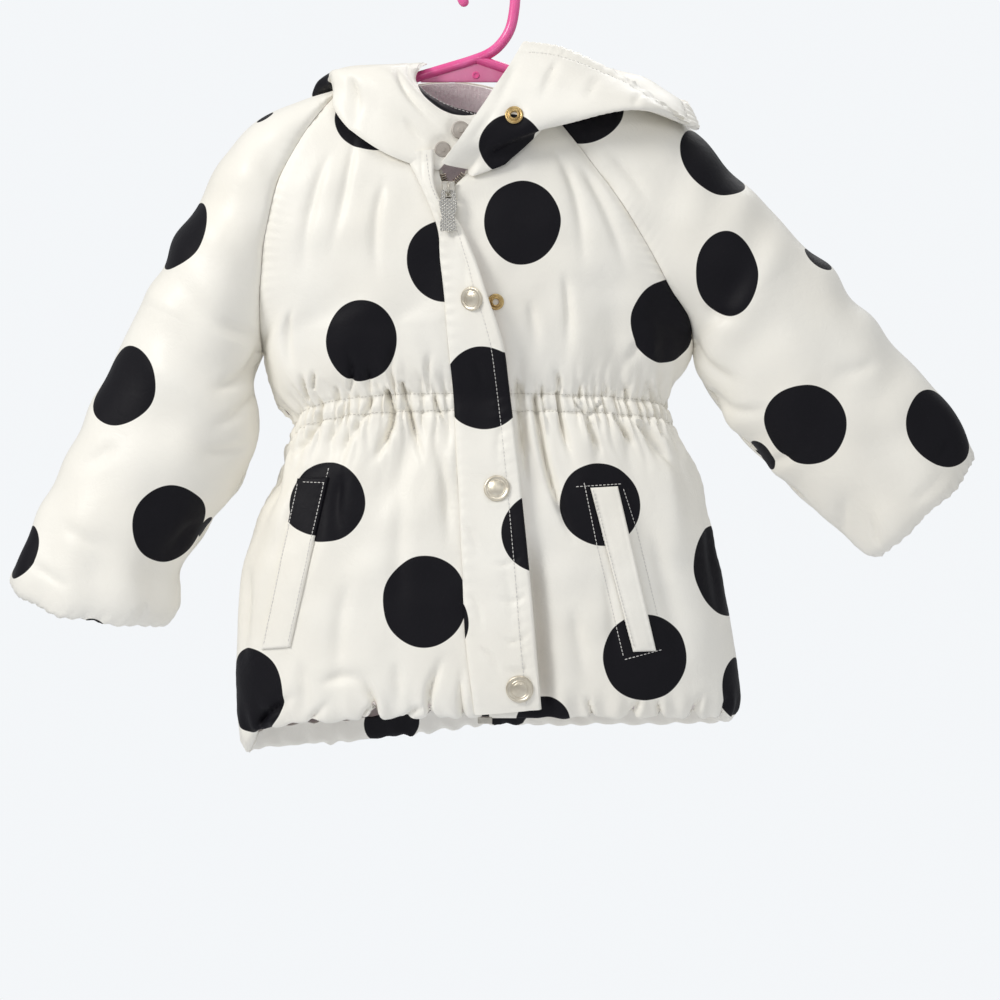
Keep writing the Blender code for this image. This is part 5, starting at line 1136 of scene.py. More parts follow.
def metal(name, low, high, roughness, scale=90.0, metallic=1.0, knurled=False):
    """Plated metal, worn unevenly: two tones, a fine grain and small scratches. A knurled one has
    the ribs of two crossed diagonal waves instead, and its two tones follow the ribs: lighter on
    them and darker in the grooves, which is painted shade."""
    made, s, shader = new_material(name)
    place = s.place()
    wear_and_rib_shade = worn = s.noise(place, scale, 3.0, 0.6)
    if knurled:
        flipped = s.vector("MULTIPLY", place, (-1.0, 1.0, 1.0))
        # The knurl's ribs also set the colour: painted shade, darker in the grooves.
        wear_and_rib_shade = s.math("MULTIPLY", *(s.wave(v, 210.0, direction="DIAGONAL") for v in (place, flipped)))
        span, bump = (0.1, 0.6), s.bump(wear_and_rib_shade, 0.0012, 1.0)
    else:
        span, bump = (0.35, 0.7), s.bump(s.noise(place, 1100.0, 3.0, 0.6, 0.8), 0.00025, 0.5)
    s.feed(shader, {
        "Base Color": s.blend(s.spread(wear_and_rib_shade, *span), (*low, 1), (*high, 1)),
        "Roughness": s.math("MULTIPLY_ADD", worn, 0.22, roughness - 0.11),
        "Normal": bump,
        "Metallic": metallic,
    })
    return made


def plastic(name, low, high):
    """Moulded plastic: two tones in faint flow marks, with uneven gloss."""
    made, s, shader = new_material(name)
    place = s.place()
    flow = s.noise(s.vector("MULTIPLY", place, (1.0, 4.0, 1.0)), 30.0, 2.0, 0.5, 1.0)
    s.feed(shader, {
        "Base Color": s.blend(s.spread(flow, 0.3, 0.7), low, high),
        "Roughness": s.math("MULTIPLY_ADD", s.noise(place, 160.0, 3.0), 0.14, 0.18),
        "Normal": s.bump(flow, 0.0006, 0.3),
        "Subsurface Weight": 0.08,
        "Subsurface Radius": (0.004, 0.001, 0.0015),
    })
    return made


def thread(name, tone):
    """Sewing thread: two twisted strands as a fine diagonal wave, in the bump and in the colour,
    which is darker in the grooves between the strands: painted shade.
    """
    made, s, shader = new_material(name)
    twist = s.wave(s.mapping(s.place(), (0.4, 0.0, 0.7)), 900.0, {"Distortion": 0.6})
    # The twist's grooves take a darker copy of the thread's tone: painted shade.
    shaded_tone = tuple(v * 0.82 for v in tone)
    s.feed(shader, {"Base Color": s.blend(twist, (*shaded_tone, 1), (*tone, 1)),
                    "Normal": s.bump(twist, 0.0002, 0.6), "Roughness": 0.62})
    return made


def tape_cloth():
    """Woven zip tape: fine diagonal ribs, in the bump and in the colour, which is darker between
    the ribs: painted shade.
    """
    made, s, shader = new_material("zip tape")
    ribs = s.wave(s.place(), 700.0, {"Distortion": 0.3}, "DIAGONAL")
    # The ribs also set the colour: painted shade between them.
    s.feed(shader, {"Base Color": s.blend(ribs, (0.66, 0.62, 0.54, 1), (0.80, 0.77, 0.69, 1)),
                    "Normal": s.bump(ribs, 0.0003, 0.7), "Roughness": 0.8})
    return made


# ---------------------------------------------------------------- the coat's panels

def share_normals(first, column_a, second, column_b, rows_a, rows_b):
    """Give two panels the mean of their normals along the seam that they share."""
    a, b = panels[first]["normal"], panels[second]["normal"]
    mean = unit(a[rows_a, column_a] + b[rows_b, column_b])
    a[rows_a, column_a] = mean
    b[rows_b, column_b] = mean


def soften_seam(panel, column):
    """Turn the normals beside a seam gradually into the seam's, and keep the distance from it."""
    base, normal = panel["base"], panel["normal"]
    away = np.linalg.norm(base - base[:, column][:, None], axis=2)
    share = ease(0, SEAM_SOFT, away)[..., None]
    in_left_half = np.arange(base.shape[1]) < base.shape[1] // 2
    near = in_left_half if column == 0 else ~in_left_half
    seam = normal[:, column][:, None]
    mixed = unit(seam * (1 - share) + normal * share)
    panel["normal"] = np.where(near[None, :, None], mixed, normal)


def draw_in(panel, column, amount):
    """Move the points of one edge column into the panel by the seam's half gap."""
    base = panel["base"]
    inner = 2 if column == 0 else -3
    inward = base[:, inner] - base[:, column]
    tangent = unit(np.gradient(base[:, column], axis=0))
    inward = inward - tangent * np.sum(inward * tangent, axis=1, keepdims=True)
    panel["shift"][:, column] += unit(inward) * amount


def seam_roll(away, depth=1.5, width=3.2):
    """A sewn edge rolls in: minus depth times exp of minus the distance over the width, squared."""
    return -depth * np.exp(-(away / width) ** 2)


def from_column(across, column):
    """Distance across a panel turned into the distance from its first (0) or last (-1) column."""
    return across if column == 0 else across[:, -1:] - across


def edge_run(base, column):
    """Distance along one edge column, for every point of the panel, and the distance away from it."""
    run = lengths(base[:, column][None], 1)[0][:, None]
    return np.broadcast_to(run, base.shape[:2]), from_column(lengths(base, 1), column)


def flap_trough(x, z, edge):
    """The left front sinks behind the open edge of the storm flap, in the skirt."""
    deep = ease(-395, -440, z) * ease(-528, -500, z)
    return -12.0 * deep * np.exp(-((x - edge) / 8.0) ** 2)


def waist_distance(base):
    """Height of each point over the middle of the waist casing, along its own column, and the x
    where that column crosses the casing."""
    run = lengths(base, 0)
    row = np.interp(WAIST_PLACE, places, np.arange(len(places)))
    k = int(row)
    f = row - k
    level = run[k] * (1 - f) + run[k + 1] * f
    x = base[k, :, 0] * (1 - f) + base[k + 1, :, 0] * f
    return run - level[None], np.broadcast_to(x[None], run.shape)


def body_relief(name, seed):
    """Relief of a body panel: casing, gathers, valleys, puckers along its seams, hem folds and the
    slow swell of the padding."""
    base = panels[name]["base"]
    x, z = base[..., 0], base[..., 2]
    w, x_waist = waist_distance(base)
    side = 0 if name == "front_right" else -1
    across = lengths(base, 1)
    to_side = from_column(across, side)
    if name == "back":
        to_side = np.minimum(across, from_column(across, -1))
    meander = 0.9 * np.sin(across / 6.3 + seed) + 0.6 * np.sin(across / 3.1 + 2 * seed)
    height = casing(1.12 * (w + meander)) + gathers(GATHERS[name], x_waist, w, seed)
    height = height + BODY_CREASING * creases(VALLEYS[name], x, z)
    quiet = 1 - 0.65 * np.exp(-(w / 9.0) ** 4)
    height = height + rumple(x, z, seed) * quiet
    for column in ((0, -1) if name == "back" else (side,)):
        run, away = edge_run(base, column)
        height += seam_roll(away) + puckers(run, away, seed + column, 7.5, 0.18 + 0.3 * ease(10, 25, w))
    if name != "back":
        run, away = edge_run(base, -1 - side)
        height += seam_roll(away, 0.9, 2.4) + puckers(run, away, seed + 3, 6.0, 0.4, 7.0)
    tucks = np.sin(2 * math.pi * across / 17.0 + 2.2 * np.sin(across / 37.0 + seed) + seed)
    height += 1.1 * tucks * np.exp(-((lengths(base, 0) - 26) / 12.0) ** 2)
    height += drapes(across, w, seed)
    scrunch = np.sin(2 * math.pi * across / 7.6 + 2.0 * np.sin(across / 13.0 + seed) + 0.25 * w)
    patchy = 0.65 + 0.35 * np.sin(across / 11.0 + 4 * seed)
    height += (0.55 + 1.0 * ease(60, 5, to_side)) * patchy * scrunch * np.exp(-(w / 11.0) ** 4)
    return height


def sleeve_relief(name, seed):
    """Relief of a sleeve: puckered seams, soft drag folds, gathers at the turned cuff and swell."""
    base = panels[name]["base"]
    x, z = base[..., 0], base[..., 2]
    to_front = ease(0.1, -0.35, facing_out(base, True)[..., 1])
    height = 1.3 * creases(VALLEYS[name], x, z) * to_front + rumple(x, z, seed, 1.5, 60.0)
    for column in (0, -1):
        run, away = edge_run(base, column)
        height += seam_roll(away) + puckers(run, away, seed + column, 7.0, 0.16 + 0.3 * ease(150, 90, run))
    around = lengths(base, 1)
    down = lengths(base, 0)
    to_cuff = down[-1:] - down
    wave = np.sin(2 * math.pi * around / 9.5 + 1.9 * np.sin(around / 21.0 + seed))
    height += 1.0 * wave * np.exp(-((to_cuff - 9) / 9.0) ** 2)
    broad = np.sin(2 * math.pi * around / 43.0 + 0.03 * down + seed)
    height += 1.6 * broad * np.exp(-((to_cuff - 45) / 34.0) ** 2)
    swing = np.sin(2 * math.pi * (down / 46.0 + around / 210.0) + seed)
    swing = swing * (0.55 + 0.45 * np.sin(around / 27.0 + 0.02 * down + seed))
    height += 1.3 * swing * ease(20, 90, down) * ease(40, 100, to_cuff)
    return height


low_places = even_places(0, ARMPIT, STEP)
top_places = even_places(ARMPIT, 19, STEP)
places = np.concatenate([low_places, top_places[1:]])
right_base, left_base, back_base = body_grids(places, FRONT_FINE, BACK_FINE)
panels = {
    "front_right": {"base": right_base}, "front_left": {"base": left_base}, "back": {"base": back_base},
    "sleeve_right": {"base": sleeve_grid("right", top_places, SLEEVE_FINE, STEP * 1.1)},
    "sleeve_left": {"base": sleeve_grid("left", top_places, SLEEVE_FINE, STEP * 1.1)},
}
for name, panel in panels.items():
    panel["normal"] = facing_out(panel["base"], name.startswith("sleeve"))
    panel["shift"] = np.zeros_like(panel["base"])
body_rows, seam_rows = len(places), len(top_places)
below = np.arange(body_rows - seam_rows)
above = np.arange(body_rows - 1, body_rows - 1 - seam_rows, -1)
on_sleeve = np.arange(seam_rows)
share_normals("front_right", 0, "back", -1, below, below)
share_normals("front_left", -1, "back", 0, below, below)
for side in ("right", "left"):
    sleeve = "sleeve_" + side
    under = np.arange(seam_rows, len(panels[sleeve]["base"]))
    share_normals(sleeve, 0, sleeve, -1, under, under)
    for sleeve_column, body, body_column in ((0, "front_" + side, 0 if side == "right" else -1),
                                             (-1, "back", -1 if side == "right" else 0)):
        share_normals(sleeve, sleeve_column, body, body_column, on_sleeve, above)
for name, column in (("front_right", 0), ("front_left", -1), ("back", 0), ("back", -1),
                     ("sleeve_right", 0), ("sleeve_right", -1), ("sleeve_left", 0), ("sleeve_left", -1)):
    soften_seam(panels[name], column)
    draw_in(panels[name], column, SEAM_GAP / 2)

for name, seed in (("front_right", 0.7), ("front_left", 2.1), ("back", 1.2)):
    panels[name]["relief"] = body_relief(name, seed)
for name, seed in (("sleeve_right", 0.4), ("sleeve_left", 1.9)):
    panels[name]["relief"] = sleeve_relief(name, seed)
for side in ("right", "left"):
    panel = panels["front_" + side]
    x, z = panel["base"][..., 0], panel["base"][..., 2]
    flap_seam, flap_edge = flap_edges(z)
    if side == "right":
        panel["relief"] = panel["relief"] * ease(-4, 3, flap_seam - x)
    else:
        panel["relief"] = panel["relief"] * ease(-9, 5, x - flap_edge) + flap_trough(x, z, flap_edge)
    top_in, low_in, top_out, low_out, _ = WELTS["pocket_welt_" + side]
    share = np.clip((z - top_in[1]) / (low_in[1] - top_in[1]), 0, 1)
    middle = (top_in[0] + top_out[0]) / 2 + share * (low_in[0] + low_out[0] - top_in[0] - top_out[0]) / 2
    beside = ease(8, 17, np.abs(x - middle))
    beyond = ease(-2, 9, np.abs(z - (top_in[1] + low_in[1]) / 2) - abs(top_in[1] - low_in[1]) / 2)
    panel["relief"] = panel["relief"] * np.maximum(np.maximum(beside, beyond), 0.12)


def collar(x):
    """How far the neck's back edge and the hood's foot stand up, at x."""
    return NECK_RISE * np.exp(-((x + 18) / 46.0) ** 4)


x, hem = back_base[..., 0], lengths(back_base, 0)
drop = np.interp(x, (-170, -130, -94, -50, -8, 10), (8.0, 11.0, 10.0, 6.0, 0.0, 0.0)) * ease(62, 22, hem)
drop += (np.interp(x, (-160, -140, -10, 10), (0, 1, 1, 0)) * np.sin(x / 2.3 + 1.5 * np.sin(x / 9.0))
         * ease(40, 20, hem))
panels["back"]["shift"][..., 2] += collar(back_base[-1, :, 0]) * ease(16, 1, hem[-1:] - hem) - drop
drop = 8.0 * np.exp(-(lengths(right_base, 1) / 17.0) ** 2) * ease(62, 22, lengths(right_base, 0))
panels["front_right"]["shift"][..., 2] -= drop
for name in ("front_right", "front_left"):
    x, hem = panels[name]["base"][..., 0], lengths(panels[name]["base"], 0)
    for place, width, rise in HEM_NOTCHES[name]:
        panels[name]["shift"][..., 2] += rise * np.exp(-((x - place) / width) ** 2) * ease(48, 16, hem)
for name, panel in panels.items():
    base = panel["base"]
    panel["outer"] = base + panel["relief"][..., None] * panel["normal"] + panel["shift"]
    panel["inner"] = panel["outer"] - CLOTH * panel["normal"]
    panel["uv"] = np.stack([lengths(base, 1), lengths(base, 0)], axis=-1)


def printed(name, grid):
    """Satin for a piece with its printed dots. Their place is given in the front view (-1) or the
    back view (1), and their depth is that of the grid point nearest to the viewer there. Any other
    number is the depth itself."""
    rows = []
    for x, z, radius, facing, *stretch in DOTS[name]:
        depth = facing
        if abs(facing) == 1:
            gap = np.hypot(grid[..., 0] - x, grid[..., 2] - z)
            near = grid[..., 1][gap < gap.min() + 3.0]
            depth = near.min() if facing < 0 else near.max()
        stretch_x, stretch_z, stretch_y = (*stretch, 1.0, 1.0, 1.0)[:3]
        rows.append((x, depth, z, radius, stretch_x, stretch_y, stretch_z))
    return satin("satin " + name.replace("_", " "), rows)


lining = lining_satin()
made = {}
for name, panel in panels.items():
    made[name] = wall(name + "_cloth", panel["outer"], panel["inner"], [printed(name, panel["outer"]), lining],
                      panel["uv"])


# ---------------------------------------------------------------- hood

def along_gently(points, places):
    """Curve through rows of points: a cubic whose slope at a row is no longer than the shorter step
    beside that row, so uneven steps make no loop."""
    points = np.asarray(points, float)
    last = len(points) - 1
    sizes = np.linalg.norm(np.diff(points, axis=0), axis=-1, keepdims=True)
    before, after = np.concatenate([sizes[:1], sizes]), np.concatenate([sizes, sizes[-1:]])
    slope = unit(np.gradient(points, axis=0)) * np.minimum(before, after)
    k = np.clip(np.floor(places).astype(int), 0, last - 1)
    f = (places - k).reshape((-1,) + (1,) * (points.ndim - 1))
    return (points[k] * (1 + 2 * f) * (1 - f) ** 2 + slope[k] * f * (1 - f) ** 2
            + points[k + 1] * f ** 2 * (3 - 2 * f) - slope[k + 1] * f ** 2 * (1 - f))


def neck_ring(names):
    """Top edge of the coat from the zip to the centre back, its normals and the direction in which
    the cloth runs up out of it."""
    points, facing, upward = [], [], []
    for name, backwards in names:
        panel = panels[name]
        top, under = (0, 2) if name.startswith("sleeve") else (-1, -3)
        line, n = panel["base"][top], panel["normal"][top]
        up = unit(panel["base"][top] - panel["base"][under])
        if backwards:
            line, n, up = line[::-1], n[::-1], up[::-1]
        half = len(line) // 2 + 1 if name == "back" else len(line)
        points.append(line[:half])
        facing.append(n[:half])
        upward.append(up[:half])
    return np.concatenate(points), np.concatenate(facing), np.concatenate(upward)


def nearest_on_line(line, points):
    """Place, counted in points along a line, nearest to each of the points, and its distance."""
    start, step = line[:-1], np.diff(line, axis=0)
    size = np.maximum(np.sum(step * step, axis=1), 1e-9)
    share = np.clip(np.sum((points[:, None] - start[None]) * step[None], axis=2) / size[None], 0, 1)
    gap = np.linalg.norm(start[None] + share[..., None] * step[None] - points[:, None], axis=2)
    best, rows = gap.argmin(axis=1), np.arange(len(points))
    return best + share[rows, best], gap[rows, best]


def read_line(line, places):
    """Points of a line at places counted in points along it."""
    k = np.clip(places.astype(int), 0, len(line) - 2)
    f = (places - k)[:, None]
    return line[k] * (1 - f) + line[k + 1] * f


def smoothed(grid, passes):
    """Mean of each point of a grid with its four neighbours, repeated, the border kept."""
    for _ in range(passes):
        beside = grid[:-2, 1:-1] + grid[2:, 1:-1] + grid[1:-1, :-2] + grid[1:-1, 2:]
        inside = (beside + 2 * grid[1:-1, 1:-1]) / 6
        grid = grid.copy()
        grid[1:-1, 1:-1] = inside
    return grid


def hood_grid(table, ring, side):
    """Surface of a hood half: gentle curves through its stations, whose neck edge is drawn onto the
    coat's neck ring where it lies near it."""
    stations = np.array([row[1:] for row in table], float)
    count = len(stations)
    lines = along_gently(stations, np.linspace(0, count - 1, (count - 1) * HOOD_FINE + 1))
    down = np.linspace(0, 5, HOOD_ACROSS)
    grid = np.array([along_gently(line, down) for line in lines])
    points, facing, upward = ring
    place, away = nearest_on_line(points, grid[:, 0])
    share = ease(18, 9, away)[:, None]
    seat = read_line(points, place)
    for _ in range(12):
        seat[1:-1] = (seat[:-2] + 2 * seat[1:-1] + seat[2:]) / 4
    for _ in range(4):
        place = nearest_on_line(points, seat)[0]
        on_ring, up, out = (read_line(v, place) for v in (points, upward, facing))
        up, out = unit(up), unit(out)
        drop = np.maximum(0.9 - np.sum((seat - on_ring) * up, axis=1), 0)[:, None]
        sunk = np.maximum(1.3 - np.sum((seat - on_ring) * out, axis=1), 0)[:, None]
        seat = seat + up * drop + out * sunk
    moved = (seat - grid[:, 0]) * share
    grid = grid + moved[:, None] * ease(2.25, 0.0, down)[None, :, None]
    grid = smoothed(grid, 3)
    normal = normals(grid)
    normal = normal * np.sign(np.sum(normal[8, 30] * np.array([0.0, -1.0, 0.2])))
    normal = unit(smoothed(normal, 6))
    grid[-1, :, 0] += SEAM_GAP / 2 if side == "left" else -SEAM_GAP / 2
    normal[-1, :, 0] = 0
    normal[-1] = unit(normal[-1])
    return grid, normal


rings = {
    "right": neck_ring((("front_right", True), ("sleeve_right", False), ("back", True))),
    "left": neck_ring((("front_left", False), ("sleeve_left", False), ("back", False))),
}
hoods = {}
for side, table, seed in (("right", HOOD_RIGHT, 0.3), ("left", HOOD_LEFT, 1.7)):
    grid, normal = hood_grid(table, rings[side], side)
    run, from_rim = edge_run(grid, -1)
    from_neck = lengths(grid, 1)
    place = np.linspace(0, len(table) - 1, len(grid))[:, None]
    x, z = grid[..., 0], grid[..., 2]
    to_front = ease(0.1, 0.5, -normal[..., 1])
    swell = np.sin(math.pi * np.clip(from_neck / (from_neck + from_rim), 0, 1)) ** 0.7
    phase = math.pi * run / RUCHE_PITCH[side] + 1.7 * np.sin(run / 17.0) + seed + 0.02 * from_rim
    ruche = 1.2 - 2 * np.abs(np.sin(phase))
    ruche = ruche * np.exp(-(from_rim / 14.0) ** 2) * np.interp(place, *RUCHE_STRENGTH[side])
    casing_rows = -0.7 * np.exp(-((from_rim - 11.0) / 1.6) ** 2)
    shallow = rumple(x, z + 0.7 * grid[..., 1], seed, 0.8, 40.0)
    fold = creases(VALLEYS["hood_" + side], x, z) * to_front
    hem = seam_roll(from_rim, 0.8, 2.0) + seam_roll(from_neck, 0.6, 3.0)
    outside = 1.6 * swell * to_front + fold + 0.8 * ruche + casing_rows + 0.6 * shallow * to_front + hem
    inside = (2.2 * swell * ease(0.1, 0.6, -normal[..., 2]) - 0.6 * fold - 0.8 * ruche + casing_rows
              + 0.6 * shallow * (1 - to_front) + hem)
    for name, _, _, px, py, pz, _, _ in SNAPS:
        if name in HOOD_SNAPS[side]:
            calm = ease(5, 12, np.linalg.norm(grid - np.array([px, py, pz]), axis=2))
            outside, inside = outside * calm, inside * calm
    outer = grid + outside[..., None] * normal
    inner = grid - (HOOD_CLOTH + np.maximum(inside, -1.2))[..., None] * normal
    ring_points, ring_out, ring_up = rings[side]
    seat_place = nearest_on_line(ring_points, grid[:, 0])[0]
    hang = np.interp(place, *HOOD_LIP[side])
    lip = (2.4 * unit(read_line(ring_out, seat_place)) * hang / 9
           - unit(read_line(ring_up, seat_place)) * hang)
    outer = outer + lip[:, None] * np.exp(-(from_neck / 9.0) ** 2)[..., None]
    hump = collar(grid[:, :1, 0]) * ease(0, 15, grid[:, :1, 1]) * ease(34, 6, from_neck)
    hump = hump[..., None] * np.array([0.0, 0.15, 1.0])
    outer, inner = outer + hump, inner + hump
    hoods[side] = {"normal": normal, "outer": outer, "inner": inner, "from_rim": from_rim}
    name = "hood_" + side
    made[name] = wall(name + "_cloth", outer, inner, [printed(name, outer)] * 2,
                      np.stack([run, from_neck], axis=-1))


# ---------------------------------------------------------------- storm flap, welts and neck lining

def seat_on(grid, x, z):
    """Depth of a front surface at places in the front view."""
    r, c = find_in_front(grid, x.ravel(), z.ravel())
    return read(grid, r, c)[:, 1].reshape(x.shape)


def rounded_edge(away, radius):
    """Quarter circle: 0 at an edge, and 1 from the radius away on."""
    return np.sqrt(np.clip(1 - (1 - np.clip(away / radius, 0, 1)) ** 2, 0, 1))


def faced(grid):
    """Normals of a grid, turned to the front."""
    normal = normals(grid)
    return normal * np.sign(-normal[..., 1:2])


whole_front = np.concatenate([right_base, left_base], axis=1)[8:]
table = along([row[1:] for row in FLAP], np.linspace(0, len(FLAP) - 1, 30))
sewn_x, sewn_z, edge_x, edge_z, lift = (v[:, None] for v in table.T)
s = np.linspace(0, 1, 6)[None, :]
x, z = sewn_x + (edge_x - sewn_x) * s, sewn_z + (edge_z - sewn_z) * s
y = seat_on(whole_front, x, z) - (0.7 + 1.8 * np.sin(s * math.pi / 2) + lift * s ** 2.5)
inner = finer(np.stack([x, y, z], axis=-1), 230, 34)
normal = unit(smoothed(faced(inner), 3))
across, down = lengths(inner, 1), lengths(inner, 0)
flap_to_edge = to_edge = from_column(across, -1)
flap_height = 0.9 * np.sin(math.pi * np.clip(across / (across + to_edge), 0, 1)) ** 0.6
flap_height += puckers(down, to_edge - 8.0, 0.9, 7.5, 0.42, 5.0) * ease(40, 220, down)
flap_height += puckers(down, across, 2.2, 8.5, 0.4, 6.0)
flap_height += seam_roll(across, 0.8, 2.5) - 0.5 * np.exp(-((to_edge - FLAP_STITCH) / 1.2) ** 2)
flap_height += 0.5 * rumple(inner[..., 0], inner[..., 2], 0.2, 0.9, 36.0)
flap_height += creases(VALLEYS["storm_flap"], inner[..., 0], inner[..., 2])
flap_height = np.maximum(flap_height, -1.1)
rounding = rounded_edge(np.minimum(across, to_edge), 1.6)
flap_outer = inner + (FLAP_CLOTH * (0.35 + 0.65 * rounding) + flap_height * rounding)[..., None] * normal
flap_normal = normal
made["storm_flap"] = wall("storm_flap_cloth", flap_outer, inner, [printed("storm_flap", flap_outer), lining],
                          np.stack([across, -down], axis=-1))

whole_outer = np.concatenate([panels["front_right"]["outer"], panels["front_left"]["outer"]], axis=1)[8:]
welts = {}
for name, (top_in, low_in, top_out, low_out, mouth) in WELTS.items():
    v, u = np.linspace(0, 1, 9)[:, None], np.linspace(0, 1, 4)[None, :]
    x, z = ((top_in[q] * (1 - v) + low_in[q] * v) * (1 - u) + (top_out[q] * (1 - v) + low_out[q] * v) * u
            for q in range(2))
    y = seat_on(whole_outer, x, z) - 0.6 - mouth * np.sin(math.pi * v) ** 0.8 * u
    inner = finer(np.stack([x, y, z], axis=-1), 96, 20)
    normal = faced(inner)
    across, down = lengths(inner, 1), lengths(inner, 0)
    to_out, to_low = from_column(across, -1), down[-1:] - down
    near = np.minimum(np.minimum(across, to_out), np.minimum(down, to_low))
    rounding = rounded_edge(near, 1.8)
    height = 0.35 * rumple(inner[..., 0], inner[..., 2], 0.9, 0.8, 30.0)
    height += puckers(down, np.minimum(across, to_out), 1.3, 6.5, 0.3, 4.0)
    height += -0.3 * np.exp(-((np.minimum(across, to_out) - 3.0) / 0.9) ** 2)
    outer = inner + (WELT_CLOTH * (0.3 + 0.7 * rounding) + height * rounding)[..., None] * normal
    welts[name] = {"outer": outer, "normal": normal}
    made[name] = wall(name + "_cloth", outer, inner, [printed(name, outer)] * 2,
                      np.stack([across, -down], axis=-1))

back = panels["back"]
columns = np.abs(back_base[-1, :, 0] - LINING_MIDDLE) < LINING_HALF_WIDTH
rows = places >= LINING_FIRST_PLACE
facing = back["normal"][rows][:, columns]
behind = back["inner"][rows][:, columns] - 0.4 * facing
pile = 0.5 * np.abs(np.sin(behind[..., 0:1] * 1.1 + 2 * np.sin(behind[..., 2:3] * 0.6)))
front_of_lining = behind - (1.4 + pile) * facing
made["neck_lining"] = wall("neck_lining_fleece", front_of_lining, behind, [fleece()] * 2,
                           back["uv"][rows][:, columns])


# ---------------------------------------------------------------- stitches

sewn = []


def stitches(name, points, facing, material, pitch=2.9, size=(1.05, 0.3, 0.26)):
    """A row of stitches sunk half way into the cloth along a line of points, added to the sewn."""
    keep = np.concatenate([[True], np.diff(lengths(points[None], 1)[0]) > 1e-6])
    centre, up = read_evenly(points[keep], pitch, int, facing[keep])
    up, ahead = unit(up), unit(np.gradient(centre, axis=0))
    sewn.append(beads("stitch_" + name, centre + 0.1 * up, ahead, up, size, material, 5))


def row_at(grid, normal, w, level):
    """Points and normals of a grid, one a column, where a measure that grows up it has one value."""
    c = np.arange(w.shape[1])
    k = np.clip(np.array([np.searchsorted(w[:, i], level) for i in c]), 1, len(w) - 1)
    f = ((level - w[k - 1, c]) / (w[k, c] - w[k - 1, c]))[:, None]
    return grid[k - 1, c] * (1 - f) + grid[k, c] * f, normal[k, c]


white = thread("white thread", (0.83, 0.81, 0.77))
cream_thread = thread("cream thread", (0.72, 0.69, 0.62))
for name in ("front_right", "front_left", "back"):
    panel = panels[name]
    w, _ = waist_distance(panel["base"])
    for index, level in enumerate((-CASING_STITCH, CASING_STITCH)):
        points, facing = row_at(panel["outer"], panel["normal"], w, level)
        stitches("%s_casing_%d" % (name, index), points[2:-2], facing[2:-2], cream_thread)
for index, (name, line) in enumerate(STITCH_LINES):
    piece = welts[name] if name in welts else panels[name]
    flat = even_line(line, 0.9)
    r, c = find_in_front(piece["outer"], flat[:, 0], flat[:, 1])
    stitches("pocket_%d" % index, read(piece["outer"], r, c), unit(read(piece["normal"], r, c)), white,
             *CLOSE_STITCH)
for name, welt in welts.items():
    for index, column in enumerate((2, -3) if name == "pocket_welt_right" else (2,)):
        stitches("%s_%d" % (name, index), welt["outer"][4:-4, column], welt["normal"][4:-4, column], white,
                 *CLOSE_STITCH)
column = int(np.argmin(np.abs(flap_to_edge[len(flap_to_edge) // 2] - FLAP_STITCH)))
stitches("flap", flap_outer[3:-3, column], flap_normal[3:-3, column], white, 2.8)
for side, from_edge in HOOD_STITCH.items():
    hood = hoods[side]
    for inside, layer, sign in (("out", "outer", 1.0), ("in", "inner", -1.0)):
        flipped = (hood[key][:, ::-1].swapaxes(0, 1) for key in (layer, "normal", "from_rim"))
        points, facing = row_at(*flipped, from_edge)
        stitches("hood_%s_%s" % (side, inside), points[3:-2], sign * facing[3:-2], white)


# ---------------------------------------------------------------- zip

nickel = metal("dull nickel", (0.52, 0.49, 0.43), (0.78, 0.75, 0.68), 0.36)
bronze = metal("zip teeth", (0.16, 0.13, 0.10), (0.56, 0.50, 0.41), 0.36)
# The pull's colour follows its knurl: painted shade in the grooves.
knurled = metal("knurled pull", (0.58, 0.56, 0.51), (0.99, 0.98, 0.95), 0.38, knurled=True)
finishes = {
    "brass": metal("worn brass", (0.42, 0.27, 0.10), (0.72, 0.55, 0.27), 0.34),
    "champagne": metal("champagne plating", (0.62, 0.56, 0.45), (0.82, 0.76, 0.64), 0.36, 60.0),
    "snap_grey": metal("grey beige lacquer", (0.40, 0.36, 0.32), (0.56, 0.52, 0.47), 0.55, metallic=0.25),
}
tape = tape_cloth()
start_row = int(np.searchsorted(places, TAPE_START_PLACE))
for side, step, picked in (("right", -1, [-5, -3, -1]), ("left", 1, [4, 2, 0])):
    panel = panels["front_" + side]
    facing = panel["normal"][start_row:][:, picked]
    sheet = panel["base"][start_row:][:, picked] - CLOTH * facing
    reach = np.array([-step * TAPE_REACH, 0.0, 0.0])
    sheet = np.concatenate([sheet, sheet[:, -1:] + 0.5 * reach, sheet[:, -1:] + reach], axis=1)
    facing = np.concatenate([facing, facing[:, -1:], facing[:, -1:]], axis=1)
    front_of_tape = sheet - 0.35 * facing
    uv = np.stack([lengths(sheet, 1), lengths(sheet, 0)], axis=-1)
    made["zip_tape_" + side] = wall("zip_tape_%s_cloth" % side, front_of_tape, front_of_tape - 1.0 * facing,
                                    [tape, tape], uv)


def across_line(line):
    """Unit directions across a line and out of the cloth, at each of its points."""
    ahead = unit(np.gradient(line, axis=0))
    across = unit(np.cross(ahead, np.array([0.0, 1.0, 0.0])))
    return across, -np.cross(ahead, across)


